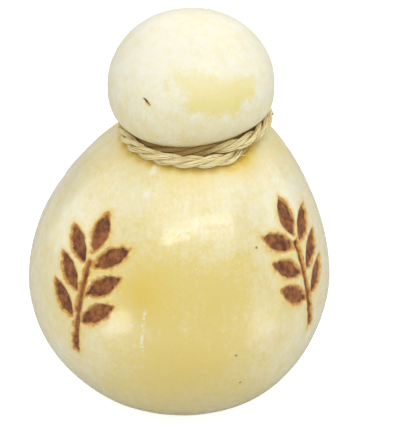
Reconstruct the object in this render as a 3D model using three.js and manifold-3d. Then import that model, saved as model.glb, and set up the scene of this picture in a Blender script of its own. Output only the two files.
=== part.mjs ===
// A caciocavallo: a pear-shaped stretched-curd cheese with a ball head, tied round its neck with a laid rope.
// Millimetres, +Z up, the front faces -Y, the foot stands on z = 0.
import * as THREE from "three";
import { mergeVertices } from "three/addons/utils/BufferGeometryUtils.js";
import Module from "manifold-3d";

const wasm = await Module();
wasm.setup();

// Cheese: driving dimensions of the outline
const BELLY_RADIUS = 76.9;
const BELLY_HEIGHT = 66.5;
const FOOT_RADIUS = 27.5;
const HEAD_RADIUS = 39.3;
const HEAD_RISE = 34.9;
const HEAD_HEIGHT = 174.6;
const HEAD_SAG = 22.5;
const HEAD_FULLNESS = 2.6;
const SHOULDER_SLOPE = THREE.MathUtils.degToRad(59.5);
const SHOULDER_RADIUS = 32.04;
const SHOULDER_HEIGHT = 150.66;
const BELLY_HANDLE = 32.9;
const SHOULDER_HANDLE = 20.8;
const NECK_RADIUS = 24.2;
const NECK_FILLET = 2.5;
const UNDERSIDE_ANGLE = THREE.MathUtils.degToRad(51);

// Cheese: how far it strays from a turned shape
const LEAN = 7.2;
const LEAN_HEIGHT = 122.5;
const LEAN_SPAN = 30;
const FOOT_SHIFT = 4.5;
const NECK_TILT = 0.06;
const TILT_HEIGHT = 151.9;
const TILT_SPREAD = 20;
const SWELLS = [
  { count: 2, rise: 0.35, turn: 0.4 },
  { count: 3, rise: 0.3, turn: 2.1 },
  { count: 5, rise: 0.2, turn: 4.0 },
];
const CHEEK_ANGLE = 78;
const CHEEK_SPREAD = 36;
const CHEEK_HEIGHT = 163;
const CHEEK_TALL = 7;
const CHEEK_RISE = 1.3;

// Middle of the outline seen from above, which is brought over the origin
const MIDDLE_X = 0.55;
const MIDDLE_Y = 0.3;

// Cheese: facets
const SEGMENTS = 48;
const BOWL_ROWS = 10;
const SHOULDER_ROWS = 20;
const UNDERSIDE_ROWS = 11;
const HEAD_ROWS = 9;

// Branded sprig: one stem, pairs of leaves and a leaf on top, pressed in at four places
const MARK_AZIMUTHS = [-39, 57, 145, 233];
const MARK_PLACE = 0.3;
const MARK_DEPTH = 0.8;
const STEM_BOTTOM = -34;
const STEM_TOP = 13;
const STEM_FOOT_WIDTH = 4;
const STEM_TIP_WIDTH = 2.6;
const LEAF_PAIRS = 3;
const LEAF_FIRST = -20;
const LEAF_STEP = 14;
const LEAF_LENGTH = 21;
const LEAF_WIDTH = 8.6;
const LEAF_ANGLE = THREE.MathUtils.degToRad(48);
const LEAF_GAP = 3.4;
const TOP_LEAF_BASE = 16;
const TOP_LEAF_LENGTH = 20;
const TOP_LEAF_WIDTH = 9.6;

// Rope: three strands, two laps round the neck that change places at the front right, and a reef knot behind
const ROPE_RADIUS = 2.5;
const ROPE_GROOVE = 0.82;
const ROPE_LAY = 30;
const ROPE_CLEARANCE = 0.9;
const RING_X = 9.2;
const OUTER_RING = { radius: 35.25, ripple: 0.3, sway: 0.1, height: 152.75, tilt: 0.3 };
const INNER_RING = { radius: 29.9, ripple: 0.5, sway: -0.3, height: 155.3, tilt: 0.3 };
const RIDE = 4.95;
const HUG = 1.2;
const SUNK = 1.2;
const GIRTH = 0.2;
const CROSS_FROM = 6;
const CROSS_TO = 50;
const CROSS_SINK = 2.8;
const OUT_FROM = -1;
const RISE_FROM = -20;
const RISE_TO = 54;
const GRIP_FROM = 114;
const GRIP_TO = 136;
const KNOT_RADIUS = 43.7;
const KNOT_HEIGHT = 156.5;
const KNOT_HALF = 10.4;
const KNOT_PLY = 2.7;
const KNOT_NARROW = 2.7;
const KNOT_WIDE = 8.1;
const KNOT_BOW = 6.2;
const LEAD_SPAN = 48;
const TAIL_SPAN = 34;
const TAIL_RADIUS = 51.3;
const TAIL_OFFSET = 0.6;
const TAIL_DROP = 16;
const ROPE_STEPS = 200;
const ROPE_CORNERS = 12;

const RIND = new THREE.MeshStandardMaterial({ name: "rind", color: 0xecdca0, roughness: 0.45 });
const STRAW = new THREE.MeshStandardMaterial({ name: "straw", color: 0xd8c48c, roughness: 0.85 });

const radians = THREE.MathUtils.degToRad;

function ease(value) {
  const t = THREE.MathUtils.clamp(value, 0, 1);
  return t * t * (3 - 2 * t);
}

// Outline of the cheese, from the middle of the foot to the top of the head, as (radius, height) points
const bowlDepth = BELLY_HEIGHT / Math.sqrt(1 - (FOOT_RADIUS / BELLY_RADIUS) ** 2);
const downhill = new THREE.Vector2(Math.sin(SHOULDER_SLOPE), -Math.cos(SHOULDER_SLOPE));
const shoulderEnd = new THREE.Vector2(SHOULDER_RADIUS, SHOULDER_HEIGHT);
const neckRun = (SHOULDER_RADIUS - NECK_RADIUS) / downhill.x;
const crease = shoulderEnd.clone().addScaledVector(downhill, -neckRun);
const neckStart = crease.clone().addScaledVector(downhill, NECK_FILLET);

const bowl = new THREE.EllipseCurve(
  0, BELLY_HEIGHT, BELLY_RADIUS, bowlDepth, -Math.asin(BELLY_HEIGHT / bowlDepth), 0, false,
);
const shoulder = new THREE.CubicBezierCurve(
  new THREE.Vector2(BELLY_RADIUS, BELLY_HEIGHT),
  new THREE.Vector2(BELLY_RADIUS, BELLY_HEIGHT + BELLY_HANDLE),
  shoulderEnd.clone().addScaledVector(downhill, SHOULDER_HANDLE),
  shoulderEnd,
);
const head = new THREE.EllipseCurve(0, HEAD_HEIGHT, HEAD_RADIUS, HEAD_RISE, 0, Math.PI / 2, false);
const fillet = new THREE.QuadraticBezierCurve(neckStart, crease, underside(UNDERSIDE_ANGLE));

// The head hangs over the neck, flatter below than above
function underside(angle) {
  const power = 2 / HEAD_FULLNESS;
  return new THREE.Vector2(
    HEAD_RADIUS * Math.cos(angle) ** power,
    HEAD_HEIGHT - HEAD_SAG * Math.sin(angle) ** power,
  );
}

function outline(inset) {
  const points = bowl.getPoints(BOWL_ROWS);
  for (let row = 1; row <= SHOULDER_ROWS; row += 1) {
    points.push(shoulder.getPoint(1 - (1 - row / SHOULDER_ROWS) ** 1.5));
  }
  points.push(shoulderEnd.clone().lerp(neckStart, 0.5), ...fillet.getPoints(3));
  for (let row = 1; row <= UNDERSIDE_ROWS; row += 1) {
    points.push(underside(UNDERSIDE_ANGLE * (1 - row / UNDERSIDE_ROWS)));
  }
  for (let row = 1; row < HEAD_ROWS; row += 1) {
    points.push(head.getPoint(row / HEAD_ROWS));
  }
  const moved = points.map((point, i) => {
    const before = points[Math.max(i - 1, 0)];
    const after = points[Math.min(i + 1, points.length - 1)];
    const along = after.clone().sub(before).normalize();
    return new THREE.Vector2(point.x - along.y * inset, point.y + along.x * inset);
  });
  const floor = moved[0].y;
  const top = HEAD_HEIGHT + HEAD_RISE - inset;
  return [new THREE.Vector2(0, floor), ...moved, new THREE.Vector2(0, top)];
}

// Rope rings: radius and height at an angle from the front
function ringRadius(ring, angle) {
  return ring.radius + ring.ripple * Math.cos(2 * angle) + ring.sway * Math.sin(angle);
}

function ringHeight(ring, angle) {
  return ring.height + ring.tilt * Math.sin(angle);
}

// A lap of the rope at an angle between -180 and 180 degrees: lap 0 comes in from the outer ring and dives under lap 1,
// which comes from the inner ring and rides out over it; girth is how thick it is, grip how close it lies to the cheese
function lapPlace(lap, angle) {
  const degrees = THREE.MathUtils.radToDeg(angle);
  const dive = ease((degrees - CROSS_FROM) / (CROSS_TO - CROSS_FROM));
  const out = lap === 0 ? 1 - dive : ease((degrees - OUT_FROM) / (CROSS_TO - OUT_FROM));
  const rise = lap === 0 ? 1 - dive : ease((degrees - RISE_FROM) / (RISE_TO - RISE_FROM));
  const outerRadius = ringRadius(OUTER_RING, angle) - HUG * lap;
  const outerHeight = ringHeight(OUTER_RING, angle) + RIDE * lap;
  const sunk = lap === 0 ? SUNK * (1 - ease((degrees - 100) / 60)) : 0;
  const innerHeight = ringHeight(INNER_RING, angle) - sunk;
  const crossing = lap === 0 ? 4 * dive * (1 - dive) * CROSS_SINK : 0;
  return {
    radius: THREE.MathUtils.lerp(ringRadius(INNER_RING, angle), outerRadius, out),
    height: THREE.MathUtils.lerp(innerHeight, outerHeight, rise) - crossing,
    girth: 1 + GIRTH * out * (1 - ease((Math.abs(degrees) - 95) / 25)),
    grip: 1 - out * ease((Math.abs(degrees) - GRIP_FROM) / (GRIP_TO - GRIP_FROM)),
  };
}

// A point of the turned shape moved to where the hand-made cheese has it, and pressed in under the rope
function settle(point) {
  const angle = Math.atan2(point.x, -point.y);
  let radius = Math.hypot(point.x, point.y);
  let height = point.z;
  const free = ease(height / 30) * ease((TILT_HEIGHT - 12 - height) / 40);
  for (const swell of SWELLS) {
    radius += Math.min(radius / 40, 1) * free * swell.rise * Math.sin(swell.count * angle + swell.turn + height / 35);
  }
  const cheek = ((THREE.MathUtils.radToDeg(angle) - CHEEK_ANGLE) / CHEEK_SPREAD) ** 2;
  radius += CHEEK_RISE * Math.exp(-cheek - ((height - CHEEK_HEIGHT) / CHEEK_TALL) ** 2);
  const lean = LEAN * 0.5 * (1 + Math.tanh((height - LEAN_HEIGHT) / LEAN_SPAN));
  const drift = FOOT_SHIFT * Math.max(1 - height / BELLY_HEIGHT, 0) ** 2;
  const tilt = NECK_TILT * Math.exp(-(((height - TILT_HEIGHT) / TILT_SPREAD) ** 2));
  height += tilt * radius * Math.sin(angle);
  let x = lean + drift + radius * Math.sin(angle);
  let y = -radius * Math.cos(angle);
  const ringAngle = Math.atan2(x - RING_X, -y);
  for (const lap of [0, 1]) {
    const place = lapPlace(lap, ringAngle);
    const reach = (ROPE_RADIUS * place.girth + ROPE_CLEARANCE) * place.grip;
    const rise = height - place.height;
    const distance = Math.hypot(x - RING_X, y);
    const limit = place.radius - Math.sqrt(Math.max(reach ** 2 - rise ** 2, 0));
    if (Math.abs(rise) < reach && distance > limit) {
      x = RING_X + limit * Math.sin(ringAngle);
      y = -limit * Math.cos(ringAngle);
    }
  }
  return point.set(x, y, height);
}

function cheeseGeometry(inset) {
  const geometry = new THREE.LatheGeometry(outline(inset), SEGMENTS);
  geometry.rotateX(Math.PI / 2);
  const position = geometry.attributes.position;
  const point = new THREE.Vector3();
  for (let i = 0; i < position.count; i += 1) {
    settle(point.fromBufferAttribute(position, i));
    position.setXYZ(i, point.x, point.y, point.z);
  }
  return geometry;
}

// Solids for joining and cutting
function solidOf(geometry) {
  const bare = geometry.clone();
  bare.deleteAttribute("normal");
  bare.deleteAttribute("uv");
  const merged = mergeVertices(bare, 1e-4);
  const corners = merged.index.array;
  const kept = [];
  for (let i = 0; i < corners.length; i += 3) {
    const [a, b, c] = [corners[i], corners[i + 1], corners[i + 2]];
    if (a !== b && b !== c && c !== a) {
      kept.push(a, b, c);
    }
  }
  return new wasm.Manifold(new wasm.Mesh({
    numProp: 3,
    vertProperties: Float32Array.from(merged.attributes.position.array),
    triVerts: Uint32Array.from(kept),
  }));
}

function geometryOf(solid) {
  const mesh = solid.getMesh();
  const geometry = new THREE.BufferGeometry();
  geometry.setAttribute("position", new THREE.Float32BufferAttribute(mesh.vertProperties, mesh.numProp));
  geometry.setIndex(new THREE.Uint32BufferAttribute(mesh.triVerts, 1));
  geometry.computeVertexNormals();
  return geometry;
}

// One branded sprig, as flat shapes to press in: x across, y up the side of the cheese
function leafShape(length, width) {
  const leaf = new THREE.Shape();
  leaf.moveTo(0, 0);
  leaf.quadraticCurveTo(width, length / 2, 0, length);
  leaf.quadraticCurveTo(-width, length / 2, 0, 0);
  return leaf;
}

function sprigPieces() {
  const thick = { depth: 32, bevelEnabled: false, curveSegments: 4 };
  const stem = new THREE.Shape([
    new THREE.Vector2(-STEM_FOOT_WIDTH / 2, STEM_BOTTOM),
    new THREE.Vector2(STEM_FOOT_WIDTH / 2, STEM_BOTTOM),
    new THREE.Vector2(STEM_TIP_WIDTH / 2, STEM_TOP),
    new THREE.Vector2(-STEM_TIP_WIDTH / 2, STEM_TOP),
  ]);
  const pieces = [new THREE.ExtrudeGeometry(stem, thick)];
  const topLeaf = new THREE.ExtrudeGeometry(leafShape(TOP_LEAF_LENGTH, TOP_LEAF_WIDTH), thick);
  pieces.push(topLeaf.translate(0, TOP_LEAF_BASE, 0));
  for (let pair = 0; pair < LEAF_PAIRS; pair += 1) {
    for (const side of [-1, 1]) {
      const leaf = new THREE.ExtrudeGeometry(leafShape(LEAF_LENGTH, LEAF_WIDTH), thick);
      leaf.translate(0, LEAF_GAP, 0);
      leaf.rotateZ(-side * LEAF_ANGLE);
      leaf.translate(0, LEAF_FIRST + pair * LEAF_STEP, 0);
      pieces.push(leaf);
    }
  }
  return pieces;
}

function brandCutters() {
  const seat = shoulder.getPoint(MARK_PLACE);
  const climb = shoulder.getTangent(MARK_PLACE);
  const cutters = [];
  for (const azimuth of MARK_AZIMUTHS) {
    const angle = radians(azimuth);
    const outward = new THREE.Vector3(Math.sin(angle), -Math.cos(angle), 0);
    const up = outward.clone().multiplyScalar(climb.x).setZ(climb.y);
    const normal = outward.clone().multiplyScalar(climb.y).setZ(-climb.x);
    const across = new THREE.Vector3().crossVectors(up, normal);
    const place = settle(outward.clone().multiplyScalar(seat.x).setZ(seat.y));
    const frame = new THREE.Matrix4().makeBasis(across, up, normal);
    frame.setPosition(place.addScaledVector(normal, -24));
    for (const piece of sprigPieces()) {
      cutters.push(solidOf(piece.applyMatrix4(frame)));
    }
  }
  return cutters;
}

function cheese() {
  const core = solidOf(cheeseGeometry(MARK_DEPTH));
  let whole = solidOf(cheeseGeometry(0));
  for (const cutter of brandCutters()) {
    whole = whole.subtract(cutter.subtract(core));
  }
  return geometryOf(whole);
}

// Rope route: x, y, z of a point given by its angle from the front, radius and height on the ring
function onRing(angle, radius, height, girth = 1) {
  const point = new THREE.Vector3(RING_X + radius * Math.sin(angle), -radius * Math.cos(angle), height);
  return Object.assign(point, { girth });
}

// A leg of the knot: u across the knot, side is the leg above or below, ply is +1 or -1 for the two ropes
function knotPoint(u, side, ply) {
  const wave = THREE.MathUtils.clamp(ply * u / KNOT_HALF, -1, 1);
  const spread = Math.sin(Math.PI * THREE.MathUtils.clamp(wave, -0.5, 0.5));
  const middle = (KNOT_WIDE + KNOT_NARROW) / 2;
  const width = middle + (KNOT_WIDE - KNOT_NARROW) / 2 * spread;
  const lift = -ply * KNOT_PLY * Math.cos(Math.PI * wave);
  return onRing(Math.PI - u / KNOT_RADIUS, KNOT_RADIUS + lift, KNOT_HEIGHT + side * width);
}

function knotBow(turn, ply) {
  const u = ply * (KNOT_HALF + KNOT_BOW * Math.cos(turn));
  return onRing(
    Math.PI - u / KNOT_RADIUS, KNOT_RADIUS + ply * KNOT_PLY, KNOT_HEIGHT + KNOT_WIDE * Math.sin(turn),
  );
}

// From the end of a tail through one rope of the knot to the end of its upper leg
function knotSide(ply) {
  const points = [];
  const tailAngle = Math.PI + ply * KNOT_HALF / KNOT_RADIUS;
  for (let step = 8; step >= 1; step -= 1) {
    const t = step / 8;
    const angle = tailAngle + ply * radians(TAIL_SPAN) * t;
    const rest = TAIL_RADIUS + ply * TAIL_OFFSET;
    const radius = THREE.MathUtils.lerp(KNOT_RADIUS + ply * KNOT_PLY, rest, ease((t - 0.45) / 0.55));
    points.push(onRing(angle, radius, KNOT_HEIGHT - KNOT_NARROW - TAIL_DROP * t ** 1.15));
  }
  for (let step = 0; step <= 10; step += 1) {
    points.push(knotPoint(ply * KNOT_HALF * (step / 5 - 1), -1, ply));
  }
  for (let step = 1; step < 6; step += 1) {
    points.push(knotBow(Math.PI * (step / 6 - 0.5), ply));
  }
  for (let step = 10; step >= 0; step -= 1) {
    points.push(knotPoint(ply * KNOT_HALF * (step / 5 - 1), 1, ply));
  }
  return points;
}

// From the knot's upper leg to a lap
function lead(lap, ply) {
  const points = [];
  const from = Math.PI + ply * KNOT_HALF / KNOT_RADIUS;
  for (let step = 1; step < 8; step += 1) {
    const t = step / 8;
    const angle = from + ply * radians(LEAD_SPAN) * t;
    const place = lapPlace(lap, angle > Math.PI ? angle - 2 * Math.PI : angle);
    const radius = THREE.MathUtils.lerp(KNOT_RADIUS + ply * KNOT_PLY, place.radius, ease(1.1 * t - 0.1));
    const height = THREE.MathUtils.lerp(KNOT_HEIGHT + KNOT_NARROW, place.height, ease(1.15 * t));
    points.push(onRing(angle, radius, height));
  }
  return points;
}

function ropeRoute() {
  const reach = 180 - THREE.MathUtils.radToDeg(KNOT_HALF / KNOT_RADIUS) - LEAD_SPAN;
  const points = [...knotSide(1), ...lead(0, 1)];
  const count = Math.round((360 + 2 * reach) / 6);
  for (let step = 0; step <= count; step += 1) {
    const degrees = (360 + 2 * reach) * step / count - reach;
    const lap = degrees > 180 ? 1 : 0;
    const angle = radians(degrees - 360 * lap);
    const place = lapPlace(lap, angle);
    points.push(onRing(angle, place.radius, place.height, place.girth));
  }
  points.push(...lead(1, -1).reverse(), ...knotSide(-1).reverse());
  return points;
}

// A route whose frames turn once for each lay, so that the strands wind along it
class LaidRope extends THREE.CatmullRomCurve3 {
  computeFrenetFrames(segments, closed) {
    const frames = super.computeFrenetFrames(segments, closed);
    const turns = this.getLength() / ROPE_LAY;
    for (let i = 0; i <= segments; i += 1) {
      const angle = -2 * Math.PI * turns * i / segments;
      frames.normals[i].applyAxisAngle(frames.tangents[i], angle);
      frames.binormals[i].crossVectors(frames.tangents[i], frames.normals[i]);
    }
    return frames;
  }
}

// Skin from ring to ring; its diagonals run with the strands, so that the lobes stay full
function rope() {
  const points = ropeRoute();
  const route = new LaidRope(points);
  route.arcLengthDivisions = 3000;
  const frames = route.computeFrenetFrames(ROPE_STEPS, false);
  const positions = [];
  for (let step = 0; step <= ROPE_STEPS; step += 1) {
    const middle = route.getPointAt(step / ROPE_STEPS);
    const place = route.getUtoTmapping(step / ROPE_STEPS) * (points.length - 1);
    const before = Math.min(Math.floor(place), points.length - 2);
    const girth = THREE.MathUtils.lerp(points[before].girth, points[before + 1].girth, place - before);
    for (let corner = 0; corner < ROPE_CORNERS; corner += 1) {
      const angle = 2 * Math.PI * corner / ROPE_CORNERS;
      const radius = ROPE_RADIUS * girth * (1 - (1 - ROPE_GROOVE) * (0.5 - 0.5 * Math.cos(3 * angle)));
      const point = middle.clone();
      point.addScaledVector(frames.normals[step], radius * Math.cos(angle));
      point.addScaledVector(frames.binormals[step], radius * Math.sin(angle));
      positions.push(point.x, point.y, point.z);
    }
  }
  const first = route.getPointAt(0);
  const last = route.getPointAt(1);
  positions.push(first.x, first.y, first.z, last.x, last.y, last.z);
  const firstMiddle = (ROPE_STEPS + 1) * ROPE_CORNERS;
  const faces = [];
  for (let corner = 0; corner < ROPE_CORNERS; corner += 1) {
    const next = (corner + 1) % ROPE_CORNERS;
    for (let step = 0; step < ROPE_STEPS; step += 1) {
      const ring = step * ROPE_CORNERS;
      const after = ring + ROPE_CORNERS;
      faces.push(ring + corner, ring + next, after + next);
      faces.push(ring + corner, after + next, after + corner);
    }
    const lastRing = ROPE_STEPS * ROPE_CORNERS;
    faces.push(firstMiddle, next, corner);
    faces.push(firstMiddle + 1, lastRing + corner, lastRing + next);
  }
  const geometry = new THREE.BufferGeometry();
  geometry.setAttribute("position", new THREE.Float32BufferAttribute(positions, 3));
  geometry.setIndex(faces);
  geometry.computeVertexNormals();
  return geometry;
}

const group = new THREE.Group();
group.name = "caciocavallo";
group.position.set(-MIDDLE_X, -MIDDLE_Y, 0);

const cheeseMesh = new THREE.Mesh(cheese(), RIND);
cheeseMesh.name = "cheese";
group.add(cheeseMesh);

const ropeMesh = new THREE.Mesh(rope(), STRAW);
ropeMesh.name = "rope";
group.add(ropeMesh);

export default group;
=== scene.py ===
"""Looks of a whole caciocavallo: a pear-shaped stretched-curd cheese with a laid rope at its neck.

Run as a script in Blender 4.5. Sizes are metres in the scene and millimetres inside the shape functions.
The front faces -Y, and angles round the cheese start there and grow towards +X.
"""

import math
from typing import NamedTuple

import bpy
import numpy as np
from bpy.props import FloatProperty, FloatVectorProperty, IntProperty, PointerProperty
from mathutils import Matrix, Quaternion, Vector, noise


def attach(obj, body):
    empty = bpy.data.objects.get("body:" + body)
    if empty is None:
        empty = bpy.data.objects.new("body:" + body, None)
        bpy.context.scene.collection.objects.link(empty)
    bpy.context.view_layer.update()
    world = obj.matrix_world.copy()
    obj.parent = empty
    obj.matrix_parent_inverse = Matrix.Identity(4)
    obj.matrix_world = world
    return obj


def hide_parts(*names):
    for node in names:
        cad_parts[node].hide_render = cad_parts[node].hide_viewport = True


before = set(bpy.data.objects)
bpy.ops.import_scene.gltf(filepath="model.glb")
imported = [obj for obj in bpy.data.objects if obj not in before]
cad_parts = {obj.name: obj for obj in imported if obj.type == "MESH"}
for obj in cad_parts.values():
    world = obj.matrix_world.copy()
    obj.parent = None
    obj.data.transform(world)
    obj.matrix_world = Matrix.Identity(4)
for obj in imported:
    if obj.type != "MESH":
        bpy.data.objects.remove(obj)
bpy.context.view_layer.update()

bl_info = {
    "name": "Caciocavallo",
    "version": (1, 0, 0),
    "blender": (4, 5, 0),
    "location": "View3D > Sidebar > Cheese",
    "description": "Builds a whole caciocavallo with its neck rope and a plain stage",
    "category": "Object",
}

MM = 1000.0

# Outline of the cheese, millimetres and degrees
HEAD_SAG = 22.5
HEAD_FULLNESS = 2.6
SHOULDER_SLOPE = 59.5
SHOULDER_END = np.array((32.04, 150.66))
BELLY_HANDLE = 32.9
SHOULDER_HANDLE = 20.8
NECK_RADIUS = 24.2
NECK_FILLET = 2.5
UNDERSIDE_ANGLE = 51.0
BOWL_STEPS = 900
SHOULDER_STEPS = 1200
NECK_STEPS = 60
UNDERSIDE_STEPS = 600
CROWN_STEPS = 900

# How far the cheese strays from a turned shape
LEAN_HEIGHT = 122.5
LEAN_SPAN = 30.0
FOOT_SHIFT = 4.5
NECK_TILT = 0.06
TILT_HEIGHT = 151.9
TILT_SPREAD = 20.0
SWELLS = ((2, 0.35, 0.4), (3, 0.3, 2.1), (5, 0.2, 4.0))
SWELL_TWIST = 35.0
SWELL_RADIUS = 40.0
SWELL_FOOT = 30.0
SWELL_TOP = TILT_HEIGHT - 12.0
SWELL_FADE = 40.0
CHEEK_ANGLE = 78.0
CHEEK_SPREAD = 36.0
CHEEK_HEIGHT = 163.0
CHEEK_TALL = 7.0
CHEEK_RISE = 1.3
MIDDLE = np.array((0.55, 0.3, 0.0))

# Burnt sprig of leaves
MARK_AZIMUTHS = (-39.0, 57.0, 145.0, 233.0)
MARK_PLACE = 0.3
MARK_BEHIND = -26.0
MARK_REACH = 12.0
STEM_BOTTOM = -34.0
STEM_TOP = 13.0
STEM_FOOT_WIDTH = 4.0
STEM_TIP_WIDTH = 2.6
LEAF_PAIRS = 3
LEAF_FIRST = -20.0
LEAF_STEP = 14.0
LEAF_LENGTH = 21.0
LEAF_WIDTH = 8.6
LEAF_ANGLE = math.radians(48.0)
LEAF_GAP = 3.4
TOP_LEAF_BASE = 16.0
TOP_LEAF_LENGTH = 20.0
TOP_LEAF_WIDTH = 9.6


class Ring(NamedTuple):
    """A ring that the rope follows round the neck."""

    radius: float
    ripple: float
    sway: float
    height: float
    tilt: float


# Rope route
RING_X = 9.2
OUTER_RING = Ring(35.25, 0.3, 0.1, 152.75, 0.3)
INNER_RING = Ring(29.9, 0.5, -0.3, 155.3, 0.3)
RIDE = 4.95
HUG = 1.2
SUNK = 1.2
SUNK_TO = 100.0
SUNK_FADE = 60.0
GIRTH = 0.2
GIRTH_TO = 95.0
GIRTH_FADE = 25.0
CROSS_FROM = 12.0
CROSS_TO = 58.0
CROSS_SINK = 2.0
OUT_FROM = -1.0
OUT_TO = 50.0
RISE_FROM = -20.0
RISE_TO = 54.0
GRIP_FROM = 114.0
GRIP_TO = 136.0
LAP_STEP = 6.0
KNOT_RADIUS = 43.7
KNOT_HEIGHT = 156.5
KNOT_HALF = 10.4
KNOT_PLY = 2.7
KNOT_NARROW = 2.7
KNOT_WIDE = 8.1
KNOT_BOW = 6.2
LEAD_SPAN = 48.0
LEAD_STEPS = 8
TAIL_SPAN = 34.0
TAIL_STEPS = 8
TAIL_RADIUS = 51.3
TAIL_OFFSET = 0.6
TAIL_DROP = 16.0
LEG_STEPS = 5
BOW_STEPS = 6

# Make of the rope, in metres or as shares of its half thickness
ROUTE_STEP = 0.0013
FRAY_LENGTH = 0.009
STRAND_REACH = 0.56
CORE_RADIUS = 0.34
CORE_SIDES = 7
# The dark core shows in the gaps between strands: painted shade
CORE_SHADE_TONE = -0.6
YARN_REACH = 0.32
YARN_RADIUS = 0.155
YARN_SIDES = 5
YARN_LAY = 0.042
YARN_EVENNESS = (0.82, 1.14)
YARN_SIZES = (0.8, 1.2)
STRAND_NUMBERS = 50.0
FRAY_SPLAY = (0.2, 2.4)
DRIFT_SCALE = 90.0
DRIFT_TURN = 0.16
DRIFT_REACH = 0.7
DRIFT_SIZE = 0.5
HAIR_RADIUS = 0.00008
HAIR_SIDES = 3
HAIR_TONE = 0.8
HAIR_LENGTHS = (0.4, 1.5)
HAIR_STANDS = (0.98, 1.12)
HAIR_BEND = {
    "Resolution": 6,
    "Start": (0.0021, 0.0, 0.0),
    "Middle": (0.0027, 0.0003, 0.003),
    "End": (0.0034, 0.0011, 0.005),
}
FIBRE_STRETCH = (110.0, 900.0, 40.0)

# Small slit with a dry rim on the head: angle, height, length, width, slope
NICK = (-31.0, 182.8, 5.4, 1.1, 31.0)
NICK_DEPTH = 0.9
NICK_CORE = 0.55
NICK_FADE = 0.6
NICK_BESIDE = 4.0
NICK_ABOVE = 3.0
NICK_RIM = (0.78, 0.52, 0.17, 1.0)
NICK_DARK = (0.15, 0.075, 0.018, 1.0)
NICK_LIGHT = (0.42, 0.22, 0.05, 1.0)

# Places on the rind, as angle, height, half width, half height and amount
# Positive amounts deepen the butter; the negative ones, on the shoulders and low on both sides, paint the
# paler sheen of light there
BUTTER_AND_SHEEN_PLACES = (
    (4.0, 84.0, 34.0, 34.0, 0.45),
    (2.0, 62.0, 30.0, 20.0, 0.2),
    (4.0, 30.0, 64.0, 20.0, 0.34),
    (-48.0, 60.0, 24.0, 20.0, -0.1),
    (62.0, 60.0, 22.0, 20.0, -0.12),
    (-52.0, 126.0, 24.0, 18.0, -0.36),
    (52.0, 126.0, 26.0, 20.0, -0.45),
    (176.0, 92.0, 30.0, 30.0, 0.4),
    (-118.0, 74.0, 22.0, 30.0, 0.35),
    (98.0, 96.0, 18.0, 26.0, 0.3),
)
# Oily golden places; the three along the rope, at 145.5 to 148 mm, paint golden shadow under it
GOLD_AND_ROPE_SHADE_PLACES = (
    (-14.5, 102.7, 12.0, 12.0, 0.75),
    (8.0, 97.0, 26.0, 15.0, 0.22),
    (5.0, 66.0, 28.0, 20.0, 0.5),
    (47.0, 92.0, 7.0, 24.0, 0.35),
    (-58.0, 84.0, 8.0, 26.0, 0.25),
    (44.0, 148.0, 12.0, 6.0, 0.65),
    (-58.0, 148.0, 13.0, 6.0, 0.45),
    (0.0, 145.5, 18.0, 4.0, 0.35),
    (160.0, 104.0, 16.0, 16.0, 0.55),
    (-140.0, 62.0, 20.0, 14.0, 0.4),
)
# Pale patches of dry bloom and painted reflection: the two low at the front paint reflections of the low
# lights
BLOOM_AND_HIGHLIGHT_PLACES = (
    (-23.0, 84.5, 10.0, 7.5, 0.35),
    (35.5, 77.5, 9.0, 8.5, 0.32),
    (-26.0, 139.5, 10.0, 5.5, 0.3),
    (24.0, 142.0, 8.0, 4.0, 0.2),
    (130.0, 74.0, 13.0, 8.0, 0.35),
    (-155.0, 98.0, 12.0, 9.0, 0.3),
    (-95.0, 112.0, 12.0, 7.0, 0.3),
)
# Clear yellow fields on the pale head, as corners by angle and height
WINDOWS = (
    (
        (-11.8, 195.8),
        (-9.8, 190.8),
        (-2.2, 188.7),
        (-1.5, 180.1),
        (35.5, 176.3),
        (37.0, 181.9),
        (47.5, 181.0),
        (53.0, 189.3),
        (24.8, 193.2),
        (6.2, 196.3),
    ),
    ((-19.4, 192.0), (-18.8, 188.0), (-17.0, 188.4), (-17.4, 192.4)),
    (
        (118.0, 180.0),
        (139.0, 178.0),
        (162.0, 180.0),
        (186.0, 187.5),
        (182.0, 195.0),
        (146.0, 196.0),
        (121.0, 189.0),
    ),
    ((-128.0, 181.0), (-104.0, 179.0), (-96.0, 188.0), (-110.0, 194.0), (-126.0, 191.0)),
)
WINDOW_REACH = 8.0
WINDOW_RADIUS = 36.0
# Chalky spots, as angle, height and size
CHALK_SPOTS = ((-26.3, 146.6, 2.4), (-24.2, 138.5, 3.0), (-9.5, 181.7, 1.1), (2.2, 178.1, 0.9))
CHALK_SQUASH = 1.25
CHALK_RAGGED = 0.6
CHALK_GRAIN = 1.6
CHALK_CORE = 0.4
CHALK_FADE = 1.5
# Painted glint along a fine scratch on the front: how far left of the middle, and from and to which height
SCRATCH_GLINT = (12.5, 73.0, 92.0)
SCRATCH_GLINT_FADE = 3.0
# Dark specks, as angle and height
SPECKS = ((21.5, 68.2), (23.8, 49.4), (34.2, 115.7), (128.0, 88.0), (-120.0, 66.0))
SPECK_FADE = (0.0009, 0.0004, 0.0, 0.85)
SPECK_COLOUR = (0.36, 0.18, 0.02, 1.0)

# Grid of the skin; the finer bands are given as middle, half height, fade and amount
ROWS = 236
COLUMNS = 365
SOLE_RINGS = 8
SPACING_STEPS = 6000
ROW_GAP = 1.75
FINE_ROWS = ((97.0, 33.0, 8.0, 0.9), (154.0, 9.0, 8.0, 1.0), (NICK[1], 2.5, 3.0, 1.15))
COLUMN_GAP = 1.7
COLUMN_GAIN = 1.12
FINE_HALF = 15.0
FINE_FADE = 6.0
ROPE_PRESS = 2.78
ROPE_LEVEL = 152.0
ROPE_REACH = 18.0
ROPE_BATCHES = 40
SKIN_RADIUS = 60.0
CROWN_RISE = 0.02
CHAR_EDGE = 0.2

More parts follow.
